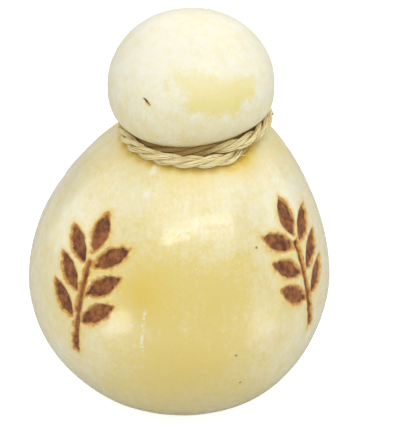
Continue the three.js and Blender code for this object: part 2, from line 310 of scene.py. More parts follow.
# Unevenness of the skin, as layers of share, grain size and seed
RIND_LAYERS = ((0.42, 30.0, 3.0), (0.12, 11.0, 9.0), (0.06, 3.2, 1.7), (0.03, 1.5, 6.1))
CRUST_LAYERS = ((0.6, 2.2, 11.3), (0.4, 0.9, 5.1))
LINE_LAYERS = ((0.6, 1.6, 31.0), (1.0, 4.5, 17.0))
LINE_STRETCH = 14.0
LINE_RELIEF = 0.032
CRUST_RELIEF = 0.3
RIM_RELIEF = 0.25
CHALK_RELIEF = 0.1
EDGE_LAYERS = ((0.7, 3.0, 71.0),)
BURN_FROM = 0.5
RIM_BAND = (0.9, 0.3, 0.9)
FOOT_FADE = 6.0

# How pale the rind is on the body and the head, and the painted golden and ochre shadow near the rope
WANDER = (26.0, 23.0)
BODY_PALE = 0.45
BODY_WANDER = 0.16
HEAD_PALE = 0.62
HEAD_WANDER = 0.05
HEAD_FROM = 0.4
HEAD_FADE = 2.5
CROWN_PALE = 0.36
CROWN_FROM = 166.0
CROWN_FADE = 20.0
# Painted golden shadow along the rope
ROPE_SHADE_GOLD = 0.6
ROPE_SHADE_GOLD_FROM = 2.4
ROPE_SHADE_GOLD_FADE = 7.0
# Painted ochre shadow right under the rope
ROPE_SHADOW_FROM = 3.2
ROPE_SHADOW_FADE = 4.4
PLACE_RADIUS = 20.0
PLACE_FALL = 0.9
FAR = 1000.0

# Clouds in the rind's colour, as scale, low, high and detail
STREAKS = (420.0, 0.25, 0.75, 3.0)
STREAK_STRETCH = (1.0, 1.0, 0.09)
CLOUDS = {
    "broad": (34.0, 0.25, 0.75, 2.0),
    "patchy": (150.0, 0.25, 0.75, 3.0),
    "small": (520.0, 0.25, 0.75, 3.0),
    "fine": (1300.0, 0.3, 0.7, 2.0),
    "torn": (260.0, 0.2, 0.8, 4.0),
    "ragged": (300.0, 0.2, 0.8, 3.0),
    "crust": (420.0, 0.3, 0.72, 4.0),
    "scuff": (240.0, 0.4, 0.7, 5.0),
    "fleck_glint": (300.0, 0.66, 0.76, 5.0),
    "chips": (640.0, 0.42, 0.6, 2.0),
}
# How far clouds loosen the masks of the rind
PALE_LOOSE = {"broad": 0.28, "patchy": 0.2, "streaky": 0.24, "small": 0.34, "fine": 0.18}
WINDOW_LOOSE = {"torn": 2.6, "small": 1.6, "fine": 1.2}
GOLD_LOOSE = {"patchy": 0.14, "small": 0.1}
BURN_LOOSE = {"ragged": 1.5}
NICK_LOOSE = {"small": 0.3}
SCRATCH_GLINT_LOOSE = {"torn": 0.0009}
# Fades up the rind, as two heights in metres and the amounts there
WINDOW_FADE = (0.197, 0.179, 0.5, 0.86)
# Painted top light: the head whiter towards its top
CROWN_LIGHT_FADE = (0.172, 0.204, 0.0, 0.45)
SCUFF_FADE = (0.158, 0.17, 0.2, 0.3)
# Pale flecks up the rind, more on the head, partly painted glints
FLECK_GLINT_FADE = (0.158, 0.17, 0.3, 0.6)
DRY_FADE = (0.14, 0.166, 0.0, 0.2)
OILY_FADE = (0.146, 0.122)
# Fades across the edge of a burn, as two distances in millimetres and the amounts there
HALO_FADE = (4.6, 0.2, 0.0, 0.62)
SCORCH_FADE = (1.2, 0.1, 0.0, 0.95)
CRUST_FADE = (-0.1, -0.9, 0.45, 1.0)
CHAR_FADE = (0.1, -0.9)

# Stage
AIM = Vector((0.01475, -0.0003, 0.1015))
FLOOR_HALF = 6.0
FILM_WIDTH = 36.0
STRIP_ROLL = math.radians(-3.5)
RIGHT_PANEL_SHARE = 0.88
RIGHT_CARD_SHARE = 0.13
WHITE = (1.0, 1.0, 1.0, 1.0)


# Settings


def length(name, description, default, precision=4):
    """A length that a user can change."""
    given = {"name": name, "description": description, "default": default}
    return FloatProperty(**given, unit="LENGTH", precision=precision)


def tint(name, description, default):
    """A colour that a user can change."""
    given = {"name": name, "description": description, "default": default}
    return FloatVectorProperty(**given, subtype="COLOR", min=0, max=1)


def power(name, description, default):
    """A light's power that a user can change."""
    return FloatProperty(name=name, description=description, default=default, subtype="POWER")


class CheeseSettings(bpy.types.PropertyGroup):
    """Sizes and colours of the cheese."""

    belly_radius: length("Belly radius", "Half width at the widest", 0.0769)
    belly_height: length("Belly height", "Height of the widest place", 0.0665)
    foot_radius: length("Foot radius", "Half width of the flat spot below", 0.0275)
    head_radius: length("Head radius", "Half width of the ball head", 0.0393)
    head_rise: length("Head rise", "Height of the head above its middle", 0.0349)
    head_height: length("Head height", "Height of the head's middle", 0.1746)
    lean: length("Lean", "How far the head stands to one side", 0.0072)
    burn_depth: length("Burn depth", "Depth of the burnt leaves", 0.0008, 5)
    butter: tint("Butter", "Plain rind", (0.81, 0.67, 0.235))
    ivory: tint("Ivory", "Dry pale rind", (0.90, 0.875, 0.69))
    # Gold also paints the golden shadow under the rope
    gold: tint("Gold", "Oily translucent rind", (0.80, 0.60, 0.115))
    # Pale colour of dry bloom and chalk, also used for painted highlights: reflections, glints and the whiter
    # crown
    bloom_and_highlight: tint("Bloom", "Dry white bloom", (0.91, 0.88, 0.77))
    char_dark: tint("Dark char", "Deepest burn", (0.115, 0.034, 0.016))
    char_light: tint("Light char", "Raised crust of the burn", (0.40, 0.15, 0.04))
    scorch: tint("Scorch", "Rim of the burn", (0.62, 0.29, 0.03))
    # Painted shadow under the rope
    rope_shadow_ochre: tint("Ochre", "Rind pressed by the rope", (0.66, 0.44, 0.06))
    wax: tint("Wax", "Clear fields on the head", (0.84, 0.735, 0.27))


class RopeSettings(bpy.types.PropertyGroup):
    """Sizes and colours of the rope."""

    rope_radius: length("Rope radius", "Half thickness of the rope", 0.0025, 5)
    lay: length("Lay", "Length in which a strand goes once round", 0.03)
    strands: IntProperty(name="Strands", description="Strands in the rope", default=3, min=2, max=4)
    yarns: IntProperty(name="Yarns", description="Yarns on the outside of a strand", default=7, min=4, max=16)
    strays: IntProperty(name="Stray fibres", description="Loose fibres along it", default=420, min=0, max=600)
    seed: IntProperty(name="Seed", description="Seed of everything uneven in the rope", default=7)
    pale: tint("Pale fibre", "Bleached fibres", (0.93, 0.85, 0.52))
    tan: tint("Tan fibre", "Darker fibres", (0.70, 0.53, 0.185))
    shaded: tint("Inner lap", "Fibre darkened against the neck", (0.42, 0.26, 0.06))
    # Painted shade on the core, seen between the strands
    deep: tint("Deep fibre", "Inside of the strands", (0.22, 0.13, 0.03))


class StageSettings(bpy.types.PropertyGroup):
    """Floor, light and camera."""

    floor: tint("Floor", "Colour of the floor", (0.6, 0.6, 0.6))
    surround: FloatProperty(name="Surround", description="Strength of the even light all round", default=0.22)
    key_power: power("Key light", "Power of the softbox above", 8.3)
    side_power: power("Side light", "Power of the left of the side panels", 2.8)
    back_power: power("Back light", "Power of the panel behind", 6.5)
    strip_power: power("Strip light", "Power of the strip in front", 4.4)
    card_power: power("Cards", "Power of the left of the small cards on the floor", 0.095)
    elevation: FloatProperty(
        name="Elevation",
        description="Angle of the camera above level",
        default=math.radians(33.0),
        subtype="ANGLE",
    )
    distance: length("Distance", "Camera to cheese", 0.7)
    lens: FloatProperty(name="Lens", description="Focal length, 36 mm film", default=118.03, unit="CAMERA")


# Shared node helpers


def feed(socket, value):
    """Gives a socket a value, or links it to another node's output."""
    if isinstance(value, Mask):
        value = value.socket
    if isinstance(value, bpy.types.NodeSocket):
        socket.id_data.links.new(value, socket)
    else:
        socket.default_value = value


def put(tree, kind, inputs=None, **settings):
    """Adds a node with its settings and inputs; inputs go by name or number."""
    made = tree.nodes.new(kind)
    for name, value in settings.items():
        setattr(made, name, value)
    for key, value in (inputs or {}).items():
        feed(made.inputs[key], value)
    return made


class Mask:
    """A number that changes over a piece: a node's output that is reckoned with like a plain number."""

    def __init__(self, socket):
        self.socket = socket
        self.tree = socket.id_data

    def reckoned(self, operation, first, second=0.0):
        """A Math node's result."""
        return Mask(put(self.tree, "ShaderNodeMath", {0: first, 1: second}, operation=operation).outputs[0])

    def __add__(self, other):
        return self.reckoned("ADD", self, other)

    def __sub__(self, other):
        return self.reckoned("SUBTRACT", self, other)

    def __rsub__(self, other):
        return self.reckoned("SUBTRACT", other, self)

    def __mul__(self, other):
        return self.reckoned("MULTIPLY", self, other)

    def __truediv__(self, other):
        return self.reckoned("DIVIDE", self, other)

    def __abs__(self):
        return self.reckoned("ABSOLUTE", self)

    __radd__ = __add__
    __rmul__ = __mul__

    def at_least(self, other):
        """The larger of two numbers."""
        return self.reckoned("MAXIMUM", self, other)

    def at_most(self, other):
        """The smaller of two numbers."""
        return self.reckoned("MINIMUM", self, other)

    def centred(self, reach):
        """A number from 0 to 1 brought to either side of 0."""
        return (self - 0.5) * reach

    def clamped(self):
        """The number kept from 0 to 1."""
        return Mask(put(self.tree, "ShaderNodeClamp", {0: self}).outputs[0])

    def ramp(self, low, high, to_low=0.0, to_high=1.0):
        """The number eased from one range to another."""
        ranges = {0: self, 1: low, 2: high, 3: to_low, 4: to_high}
        return Mask(put(self.tree, "ShaderNodeMapRange", ranges, interpolation_type="SMOOTHSTEP").outputs[0])


def vector_sum(tree, operation, first, second):
    """A Vector Math node's vector."""
    return put(tree, "ShaderNodeVectorMath", {0: first, 1: second}, operation=operation).outputs[0]


def vector_size(tree, operation, first, second=(0.0, 0.0, 0.0)):
    """A Vector Math node's number."""
    made = put(tree, "ShaderNodeVectorMath", {0: first, 1: second}, operation=operation)
    return Mask(made.outputs["Value"])


def combined(tree, x, y, z=0.0):
    """A vector from three numbers."""
    return put(tree, "ShaderNodeCombineXYZ", {0: x, 1: y, 2: z}).outputs[0]


def stretched(tree, vector, scale):
    """A vector stretched along its three ways."""
    return put(tree, "ShaderNodeMapping", {"Vector": vector, "Scale": scale}).outputs[0]


def mixed(factor, low, high):
    """One colour over another."""
    return put(factor.tree, "ShaderNodeMix", {0: factor, 6: low, 7: high}, data_type="RGBA").outputs[2]


def rgba(colour):
    """A colour property with its alpha."""
    return (*colour, 1.0)


def field(tree, name):
    """A number of a mesh attribute in a material."""
    return Mask(put(tree, "ShaderNodeAttribute", attribute_name=name).outputs["Fac"])


def vector_field(tree, name):
    """A vector of a mesh attribute in a material."""
    return put(tree, "ShaderNodeAttribute", attribute_name=name).outputs["Vector"]


def group_of(name, numbers, result):
    """An empty shader node group for a vector and named numbers, with the sockets at its two ends."""
    tree = bpy.data.node_groups.new(name, "ShaderNodeTree")
    tree.interface.new_socket(name="Vector", in_out="INPUT", socket_type="NodeSocketVector")
    for label, value in numbers.items():
        socket = tree.interface.new_socket(name=label, in_out="INPUT", socket_type="NodeSocketFloat")
        socket.default_value = value
    tree.interface.new_socket(name=result, in_out="OUTPUT", socket_type="NodeSocketFloat")
    return tree, tree.nodes.new("NodeGroupInput").outputs, tree.nodes.new("NodeGroupOutput").inputs


def cloud_of(tree, vector, scale, detail):
    """A noise along a vector."""
    inputs = {"Vector": vector, "Scale": scale, "Detail": detail}
    return Mask(put(tree, "ShaderNodeTexNoise", inputs).outputs[0])


def mottle_group():
    """Soft blotches: a noise eased between two levels."""
    if "mottle" in bpy.data.node_groups:
        return bpy.data.node_groups["mottle"]
    tree, given, end = group_of("mottle", {"Scale": 40.0, "Detail": 3.0, "Low": 0.35, "High": 0.65}, "Mask")
    cloud = cloud_of(tree, given["Vector"], given["Scale"], given["Detail"])
    feed(end["Mask"], cloud.ramp(given["Low"], given["High"]))
    return tree


def mottle(tree, vector, scale, low, high, detail):
    """The mottle group placed in a material."""
    values = {"Vector": vector, "Scale": scale, "Detail": detail, "Low": low, "High": high}
    return Mask(put(tree, "ShaderNodeGroup", values, node_tree=mottle_group()).outputs["Mask"])


def grain_group():
    """Fine uneven height from a coarse and a fine noise."""
    if "grain" in bpy.data.node_groups:
        return bpy.data.node_groups["grain"]
    tree, given, end = group_of("grain", {"Coarse": 300.0, "Fine": 1200.0, "Share": 0.4}, "Height")
    coarse = cloud_of(tree, given["Vector"], given["Coarse"], 2.0)
    fine = cloud_of(tree, given["Vector"], given["Fine"], 2.0)
    feed(end["Height"], coarse + fine * given["Share"])
    return tree


def grain(tree, vector, coarse, fine, share):
    """The grain group placed in a material."""
    values = {"Vector": vector, "Coarse": coarse, "Fine": fine, "Share": share}
    return Mask(put(tree, "ShaderNodeGroup", values, node_tree=grain_group()).outputs["Height"])


def new_material(name):
    """A material with its node tree and its shader."""
    material = bpy.data.materials.new(name)
    material.use_nodes = True
    tree = material.node_tree
    return material, tree, tree.nodes["Principled BSDF"]


def dress(shader, inputs):
    """Gives a shader its values and links."""
    for name, value in inputs.items():
        feed(shader.inputs[name], value)


def bumped(tree, height, strength, distance):
    """A normal with fine height on it."""
    values = {"Height": height, "Strength": strength, "Distance": distance}
    return put(tree, "ShaderNodeBump", values).outputs[0]


def piece_of(name, data):
    """A new object at the origin."""
    made = bpy.data.objects.new(name, data)
    bpy.context.scene.collection.objects.link(made)
    return made


# Shape of the cheese


def ease(value):
    """Smooth step from 0 to 1."""
    t = np.clip(value, 0.0, 1.0)
    return t * t * (3.0 - 2.0 * t)


def eased(value, start, stop):
    """Smooth step from 0 at start to 1 at stop."""
    return ease((value - start) / (stop - start))


def lerp(low, high, share):
    """Between two values."""
    return low + (high - low) * share


def ring_radius(ring, angle):
    """Radius of a ring of the rope at an angle from the front."""
    return ring.radius + ring.ripple * np.cos(2.0 * angle) + ring.sway * np.sin(angle)


def ring_height(ring, angle):
    """Height of a ring of the rope at an angle from the front."""
    return ring.height + ring.tilt * np.sin(angle)


def lap_place(lap, angle):
    """Radius, height, girth and grip of a lap of the rope at an angle between -pi and pi.

    Lap 0 comes from the outer ring and dives under lap 1, which comes from the inner ring and rides over it.
    """
    degrees = np.degrees(angle)
    dive = eased(degrees, CROSS_FROM, CROSS_TO)
    out = eased(degrees, OUT_FROM, OUT_TO) if lap else 1.0 - dive
    rise = eased(degrees, RISE_FROM, RISE_TO) if lap else 1.0 - dive
    outer_radius = ring_radius(OUTER_RING, angle) - HUG * lap
    outer_height = ring_height(OUTER_RING, angle) + RIDE * lap
    sunk = 0.0 if lap else SUNK * (1.0 - ease((degrees - SUNK_TO) / SUNK_FADE))
    inner_height = ring_height(INNER_RING, angle) - sunk
    crossing = 0.0 if lap else 4.0 * dive * (1.0 - dive) * CROSS_SINK
    radius = lerp(ring_radius(INNER_RING, angle), outer_radius, out)
    height = lerp(inner_height, outer_height, rise) - crossing
    girth = 1.0 + GIRTH * out * (1.0 - ease((np.abs(degrees) - GIRTH_TO) / GIRTH_FADE))
    grip = 1.0 - out * eased(np.abs(degrees), GRIP_FROM, GRIP_TO)
    return radius, height, girth, grip


class Pear:
    """Outline and settling of the cheese, in millimetres."""

    def __init__(self, sizes):
        self.belly = sizes.belly_radius * MM
        self.belly_height = sizes.belly_height * MM
        self.foot = sizes.foot_radius * MM
        self.head = sizes.head_radius * MM
        self.head_rise = sizes.head_rise * MM
        self.head_height = sizes.head_height * MM
        self.lean = sizes.lean * MM
        slope = math.radians(SHOULDER_SLOPE)
        self.downhill = np.array((math.sin(slope), -math.cos(slope)))
        self.crease = SHOULDER_END - (SHOULDER_END[0] - NECK_RADIUS) / self.downhill[0] * self.downhill

    def shoulder(self, t):
        """Point and direction of the shoulder curve."""
        t = np.asarray(t, float)[..., None]
        a = np.array((self.belly, self.belly_height))
        b = a + (0.0, BELLY_HANDLE)
        c = SHOULDER_END + SHOULDER_HANDLE * self.downhill
        d = SHOULDER_END
        point = (1 - t) ** 3 * a + 3 * (1 - t) ** 2 * t * b + 3 * (1 - t) * t**2 * c + t**3 * d
        way = 3 * (1 - t) ** 2 * (b - a) + 6 * (1 - t) * t * (c - b) + 3 * t**2 * (d - c)
        return point, way / np.linalg.norm(way, axis=-1, keepdims=True)

    def outline(self):
        """Fine radius and height points from the edge of the foot to the crown."""
        depth = self.belly_height / math.sqrt(1 - (self.foot / self.belly) ** 2)
        turn = np.linspace(-math.asin(self.belly_height / depth), 0.0, BOWL_STEPS)
        bowl = np.stack((self.belly * np.cos(turn), self.belly_height + depth * np.sin(turn)), -1)
        side, _ = self.shoulder(np.linspace(0.0, 1.0, SHOULDER_STEPS)[1:])
        hang = np.linspace(math.radians(UNDERSIDE_ANGLE), 0.0, UNDERSIDE_STEPS)
        fullness = 2.0 / HEAD_FULLNESS
        below_height = self.head_height - HEAD_SAG * np.sin(hang) ** fullness
        below = np.stack((self.head * np.cos(hang) ** fullness, below_height), -1)
        rise = np.linspace(0.0, 0.5 * math.pi, CROWN_STEPS)[1:]
        above = np.stack((self.head * np.cos(rise), self.head_height + self.head_rise * np.sin(rise)), -1)
        t = np.linspace(0.0, 1.0, NECK_STEPS)[:-1, None]
        neck = self.crease + NECK_FILLET * self.downhill
        round_in = (1 - t) ** 2 * neck + 2 * (1 - t) * t * self.crease + t**2 * below[0]
        return np.concatenate((bowl, side, round_in, below, above))

    def settle(self, angle, radius, height, press):
        """Turned points moved to where the hand-made cheese has them; press is the rope's reach into it."""
        free = ease(height / SWELL_FOOT) * ease((SWELL_TOP - height) / SWELL_FADE)
        for count, rise, turn in SWELLS:
            wave = np.sin(count * angle + turn + height / SWELL_TWIST)
            radius = radius + np.minimum(radius / SWELL_RADIUS, 1.0) * free * rise * wave
        cheek = ((np.degrees(angle) - CHEEK_ANGLE) / CHEEK_SPREAD) ** 2
        cheek = cheek + ((height - CHEEK_HEIGHT) / CHEEK_TALL) ** 2
        radius = radius + CHEEK_RISE * np.exp(-cheek)
        lean = 0.5 * self.lean * (1.0 + np.tanh((height - LEAN_HEIGHT) / LEAN_SPAN))
        drift = FOOT_SHIFT * np.maximum(1.0 - height / self.belly_height, 0.0) ** 2
        tilt = NECK_TILT * np.exp(-(((height - TILT_HEIGHT) / TILT_SPREAD) ** 2))
        height = height + tilt * radius * np.sin(angle)
        x = lean + drift + radius * np.sin(angle)
        y = -radius * np.cos(angle)
        if press > 0.0:
            ring = np.arctan2(x - RING_X, -y)
            for lap in (0, 1):
                lap_radius, lap_height, girth, grip = lap_place(lap, ring)
                reach = press * girth * grip
                rise = height - lap_height
                away = np.hypot(x - RING_X, y)
                limit = lap_radius - np.sqrt(np.maximum(reach**2 - rise**2, 0.0))
                inward = np.where((np.abs(rise) < reach) & (away > limit), away - limit, 0.0)
                x = x - inward * np.sin(ring)
                y = y + inward * np.cos(ring)
        return np.stack((x, y, height), -1)


def spaced(start, stop, gaps, count):
    """Numbers from start to stop, closer together where gaps(value) is small."""
    fine = np.linspace(start, stop, SPACING_STEPS)
    run = np.concatenate(((0.0,), np.cumsum(1.0 / gaps(0.5 * (fine[1:] + fine[:-1])))))
    return np.interp(np.linspace(0.0, run[-1], count), run, fine)


def near(value, middle, reach, soft):
    """1 within reach of the middle, falling to 0 over soft."""
    return 1.0 - ease((np.abs(value - middle) - reach) / soft)


def turned(degrees):
    """An angle in degrees brought between -180 and 180."""
    return (degrees + 180.0) % 360.0 - 180.0


def column_gap(degrees):
    """Wanted gap between columns, degrees: finer across the burnt leaves."""
    fine = np.zeros_like(degrees)
    for azimuth in MARK_AZIMUTHS:
        fine = np.maximum(fine, near(turned(degrees - azimuth), 0.0, FINE_HALF, FINE_FADE))
    return COLUMN_GAP - COLUMN_GAIN * fine


def row_gap(height):
    """Wanted gap between rows, by height: finer along the burnt leaves, at the neck and at the nick."""
    fine = np.zeros_like(height)
    for middle, half, fade, amount in FINE_ROWS:
        fine = np.maximum(fine, near(height, middle, half, fade) * amount)
    return ROW_GAP - fine


def leaf_distance(x, y, length, width):
    """Signed distance to a pointed leaf along +y, negative inside."""
    t = np.clip(y / length, 0.0, 1.0)
    half = 2.0 * width * t * (1.0 - t)
    lean = 2.0 * width * (1.0 - 2.0 * t) / length
    beside = (np.abs(x) - half) / np.sqrt(1.0 + lean**2)
    beyond = np.hypot(x, y - np.clip(y, 0.0, length))
    return np.where((y > 0.0) & (y < length), beside, beyond)


def sprig_distance(x, y):
    """Signed distance to the burnt sprig, negative inside."""
    share = np.clip((y - STEM_BOTTOM) / (STEM_TOP - STEM_BOTTOM), 0.0, 1.0)
    half = 0.5 * (STEM_FOOT_WIDTH + (STEM_TIP_WIDTH - STEM_FOOT_WIDTH) * share)
    edge = np.maximum(np.abs(x) - half, np.maximum(STEM_BOTTOM - y, y - STEM_TOP))
    edge = np.minimum(edge, leaf_distance(x, y - TOP_LEAF_BASE, TOP_LEAF_LENGTH, TOP_LEAF_WIDTH))
    for pair in range(LEAF_PAIRS):
        rise = y - LEAF_FIRST - pair * LEAF_STEP
        along = np.abs(x) * math.sin(LEAF_ANGLE) + rise * math.cos(LEAF_ANGLE)
        beside = np.abs(x) * math.cos(LEAF_ANGLE) - rise * math.sin(LEAF_ANGLE)
        edge = np.minimum(edge, leaf_distance(beside, along - LEAF_GAP, LEAF_LENGTH, LEAF_WIDTH))
    return edge


def burn_distance(pear, points):
    """Signed distance of each point to the nearest burnt sprig, in millimetres, no more than its reach."""
    seat, climb = pear.shoulder(MARK_PLACE)
    nearest = np.full(points.shape[:-1], MARK_REACH)
    for azimuth in MARK_AZIMUTHS:
        angle = math.radians(azimuth)
        outward = np.array((math.sin(angle), -math.cos(angle), 0.0))
        up = outward * climb[0] + (0.0, 0.0, climb[1])
        normal = outward * climb[1] - (0.0, 0.0, climb[0])
        across = np.cross(up, normal)
        place = pear.settle(np.array(angle), np.array(seat[0]), np.array(seat[1]), 0.0)
        away = points - place
        edge = sprig_distance(away @ across, away @ up)
        nearest = np.where(away @ normal > MARK_BEHIND, np.minimum(nearest, edge), nearest)
    return nearest


def clouds(points, size, seed):
    """Smooth noise between about -1 and 1 for every point; size is its grain in millimetres."""
    flat = points.reshape(-1, 3) / size + seed
    values = [noise.noise(Vector(point)) for point in flat]
    return np.array(values).reshape(points.shape[:-1])


def layered(points, layers):
    """Layers of noise, one on another."""
    return sum(share * clouds(points, size, seed) for share, size, seed in layers)


def place_amount(angle, height, radius, places):
    """Soft round amounts on the rind at the given places."""
    total = np.zeros_like(angle)
    for azimuth, level, half_width, half_height, amount in places:
        across, up = local_plane(angle, height, np.maximum(radius, PLACE_RADIUS), azimuth, level)
        far = (across / half_width) ** 2 + (up / half_height) ** 2
        total = total + amount * np.exp(-PLACE_FALL * far)
    return total


def local_plane(angle, height, radius, azimuth, level):
    """Millimetres across and up from a place on the rind."""
    across = np.radians(turned(np.degrees(angle) - azimuth)) * radius
    return across, height - level


def outline_distance(x, y, corners):
    """Signed distance to a closed outline, negative inside."""
    nearest = np.full_like(x, FAR)
    inside = np.zeros(x.shape, bool)
    for (ax, ay), (bx, by) in zip(corners, corners[1:] + corners[:1]):
        run_x = bx - ax
        run_y = by - ay
        share = np.clip(((x - ax) * run_x + (y - ay) * run_y) / (run_x**2 + run_y**2), 0.0, 1.0)
        nearest = np.minimum(nearest, np.hypot(x - ax - share * run_x, y - ay - share * run_y))
        if run_y != 0.0:
            inside ^= ((ay > y) != (by > y)) & (x < ax + run_x * (y - ay) / run_y)
    return np.where(inside, -nearest, nearest)


def rope_distance(points):
    """Distance of each point to the middle of the rope, in millimetres, no more than its reach."""
    route = rope_route()[::2, :3]
    flat = points.reshape(-1, 3)
    close = np.flatnonzero(np.abs(flat[:, 2] - ROPE_LEVEL) < ROPE_REACH)
    away = np.full(len(flat), ROPE_REACH)
    for part in np.array_split(close, ROPE_BATCHES):
        away[part] = np.linalg.norm(flat[part, None] - route[None], axis=-1).min(1)
    return away.reshape(points.shape[:-1])


class Skin(NamedTuple):
    """Grid of the skin before its relief: rows up the outline and columns round it."""

    rows: np.ndarray
    angle: np.ndarray
    radius: np.ndarray
    level: np.ndarray
    points: np.ndarray


def skin_grid(pear):
    """The smooth skin of the cheese, from the middle of the sole up to the crown."""
    line = pear.outline()
    run = np.concatenate(((0.0,), np.cumsum(np.linalg.norm(np.diff(line, axis=0), axis=1))))
    rows = spaced(0.0, run[-1], lambda s: row_gap(np.interp(s, run, line[:, 1])), ROWS)[:-1]
    radius = np.interp(rows, run, line[:, 0])
    level = np.interp(rows, run, line[:, 1])
    inner = np.linspace(0.0, pear.foot, SOLE_RINGS)[1:-1]
    radius = np.concatenate((inner, radius))
    level = np.concatenate((np.zeros_like(inner), level))
    rows = np.concatenate((inner - pear.foot, rows))
    degrees = spaced(-180.0, 180.0, column_gap, COLUMNS)[:-1]
    angle = np.broadcast_to(np.radians(degrees), (len(rows), len(degrees)))
    radius = np.broadcast_to(radius[:, None], angle.shape)
    level = np.broadcast_to(level[:, None], angle.shape)
    return Skin(rows, angle, radius, level, pear.settle(angle, radius, level, ROPE_PRESS))


def outward(points):
    """Normals of the skin's grid."""
    along = np.gradient(points, axis=0)
    wrapped = np.concatenate((points[:, -1:], points, points[:, :1]), 1)
    normal = np.cross(wrapped[:, 2:] - wrapped[:, :-2], along)
    return normal / np.linalg.norm(normal, axis=-1, keepdims=True)


def rind_relief(skin, edge, burn_depth):
    """How far the rind stands out from its outline, and where it is chalky."""
    points = skin.points
    rough_edge = edge + layered(points, EDGE_LAYERS)
    burnt = ease(BURN_FROM - rough_edge)
    rim = near(rough_edge, *RIM_BAND)
    free = ease(skin.level / FOOT_FADE)
    relief = free * layered(points, RIND_LAYERS)
    round_x = SKIN_RADIUS * np.sin(skin.angle)
    round_y = SKIN_RADIUS * np.cos(skin.angle)
    drawn = np.stack((round_x, round_y, points[..., 2] / LINE_STRETCH), -1)
    relief = relief + free * LINE_RELIEF * layered(drawn, LINE_LAYERS)
    relief = relief + burnt * (layered(points, CRUST_LAYERS) * CRUST_RELIEF - burn_depth) + RIM_RELIEF * rim

    azimuth, height, long, wide, slope = NICK
    x, y = local_plane(skin.angle, points[..., 2], skin.radius, azimuth, height)
    cosine = math.cos(math.radians(slope))
    sine = math.sin(math.radians(slope))
    hollow = np.hypot((x * cosine - y * sine) / (0.5 * long), (x * sine + y * cosine) / (0.5 * wide))
    relief = relief - NICK_DEPTH * (1.0 - ease((hollow - NICK_CORE) / NICK_FADE))
    chalk = np.zeros_like(relief)
    for azimuth, height, size in CHALK_SPOTS:
        x, y = local_plane(skin.angle, points[..., 2], skin.radius, azimuth, height)
        ragged = np.hypot(x, CHALK_SQUASH * y) + CHALK_RAGGED * clouds(points, CHALK_GRAIN, azimuth)
        chalk = np.maximum(chalk, 1.0 - ease((ragged - CHALK_CORE * size) / CHALK_FADE))
    return relief + CHALK_RELIEF * chalk, chalk


def rind_fields(pear, skin, points):
    """What the rind's material reads at every point."""
    angle = skin.angle
    height = points[..., 2]
    on_head = ease((skin.level - pear.crease[1] - HEAD_FROM) / HEAD_FADE)
    wander = clouds(points, *WANDER)
    # Paler where the negative butter places paint sheen on the shoulders and low sides
    pale = BODY_PALE + BODY_WANDER * wander - place_amount(angle, height, skin.radius, BUTTER_AND_SHEEN_PLACES)
    crown = HEAD_PALE + CROWN_PALE * ease((height - CROWN_FROM) / CROWN_FADE) + HEAD_WANDER * wander
    window = np.full_like(height, WINDOW_REACH)
    for corners in WINDOWS:
        middle = 0.5 * (corners[0][0] + corners[len(corners) // 2][0])
        flat_corners = [(WINDOW_RADIUS * math.radians(azimuth - middle), up) for azimuth, up in corners]
        x, _ = local_plane(angle, height, WINDOW_RADIUS, middle, 0.0)
        window = np.minimum(window, outline_distance(x, height, flat_corners))
    away = rope_distance(points)
    # Gold places, three of them painted shadow under the rope
    golden = place_amount(angle, height, skin.radius, GOLD_AND_ROPE_SHADE_PLACES) * (1.0 - on_head)
    return {
        "pale": np.clip(pale, 0.0, 1.0) * (1.0 - on_head) + crown * on_head,
        # Pale patches, partly painted reflections
        "bloom_and_highlight": place_amount(angle, height, skin.radius, BLOOM_AND_HIGHLIGHT_PLACES) * (1.0 - on_head),
        "window": np.where(on_head > 0.5, window, WINDOW_REACH),
        # Painted golden shadow along the rope, over the gold places
        "golden": golden + ROPE_SHADE_GOLD * (1.0 - ease((away - ROPE_SHADE_GOLD_FROM) / ROPE_SHADE_GOLD_FADE)),
        # Painted ochre shadow under the rope
        "rope_shadow": 1.0 - ease((away - ROPE_SHADOW_FROM) / ROPE_SHADOW_FADE),
    }


def nick_frame(spot):
    """Middle of the nick, and its directions along and across on the skin."""
    azimuth, height = NICK[:2]
    slope = math.radians(NICK[4])
    east = (spot(azimuth + NICK_BESIDE, height) - spot(azimuth - NICK_BESIDE, height)).normalized()
    north = (spot(azimuth, height + NICK_ABOVE) - spot(azimuth, height - NICK_ABOVE)).normalized()
    along = math.cos(slope) * east - math.sin(slope) * north
    across = math.sin(slope) * east + math.cos(slope) * north
    return spot(azimuth, height), along, across


def closed_faces(total, count):
    """Quads of a grid that closes round, and the triangles that close its two ends."""
    grid = np.arange(total * count).reshape(total, count)
    right = np.roll(grid, -1, 1)
    quads = np.stack((grid[:-1], right[:-1], right[1:], grid[1:]), -1).reshape(-1, 4)
    faces = [tuple(face) for face in quads.tolist()]
    top = total * count
    for column in range(count):
        after = (column + 1) % count
        faces.append((int(grid[-1, column]), int(grid[-1, after]), top))
        faces.append((int(grid[0, after]), int(grid[0, column]), top + 1))
    return quads, faces


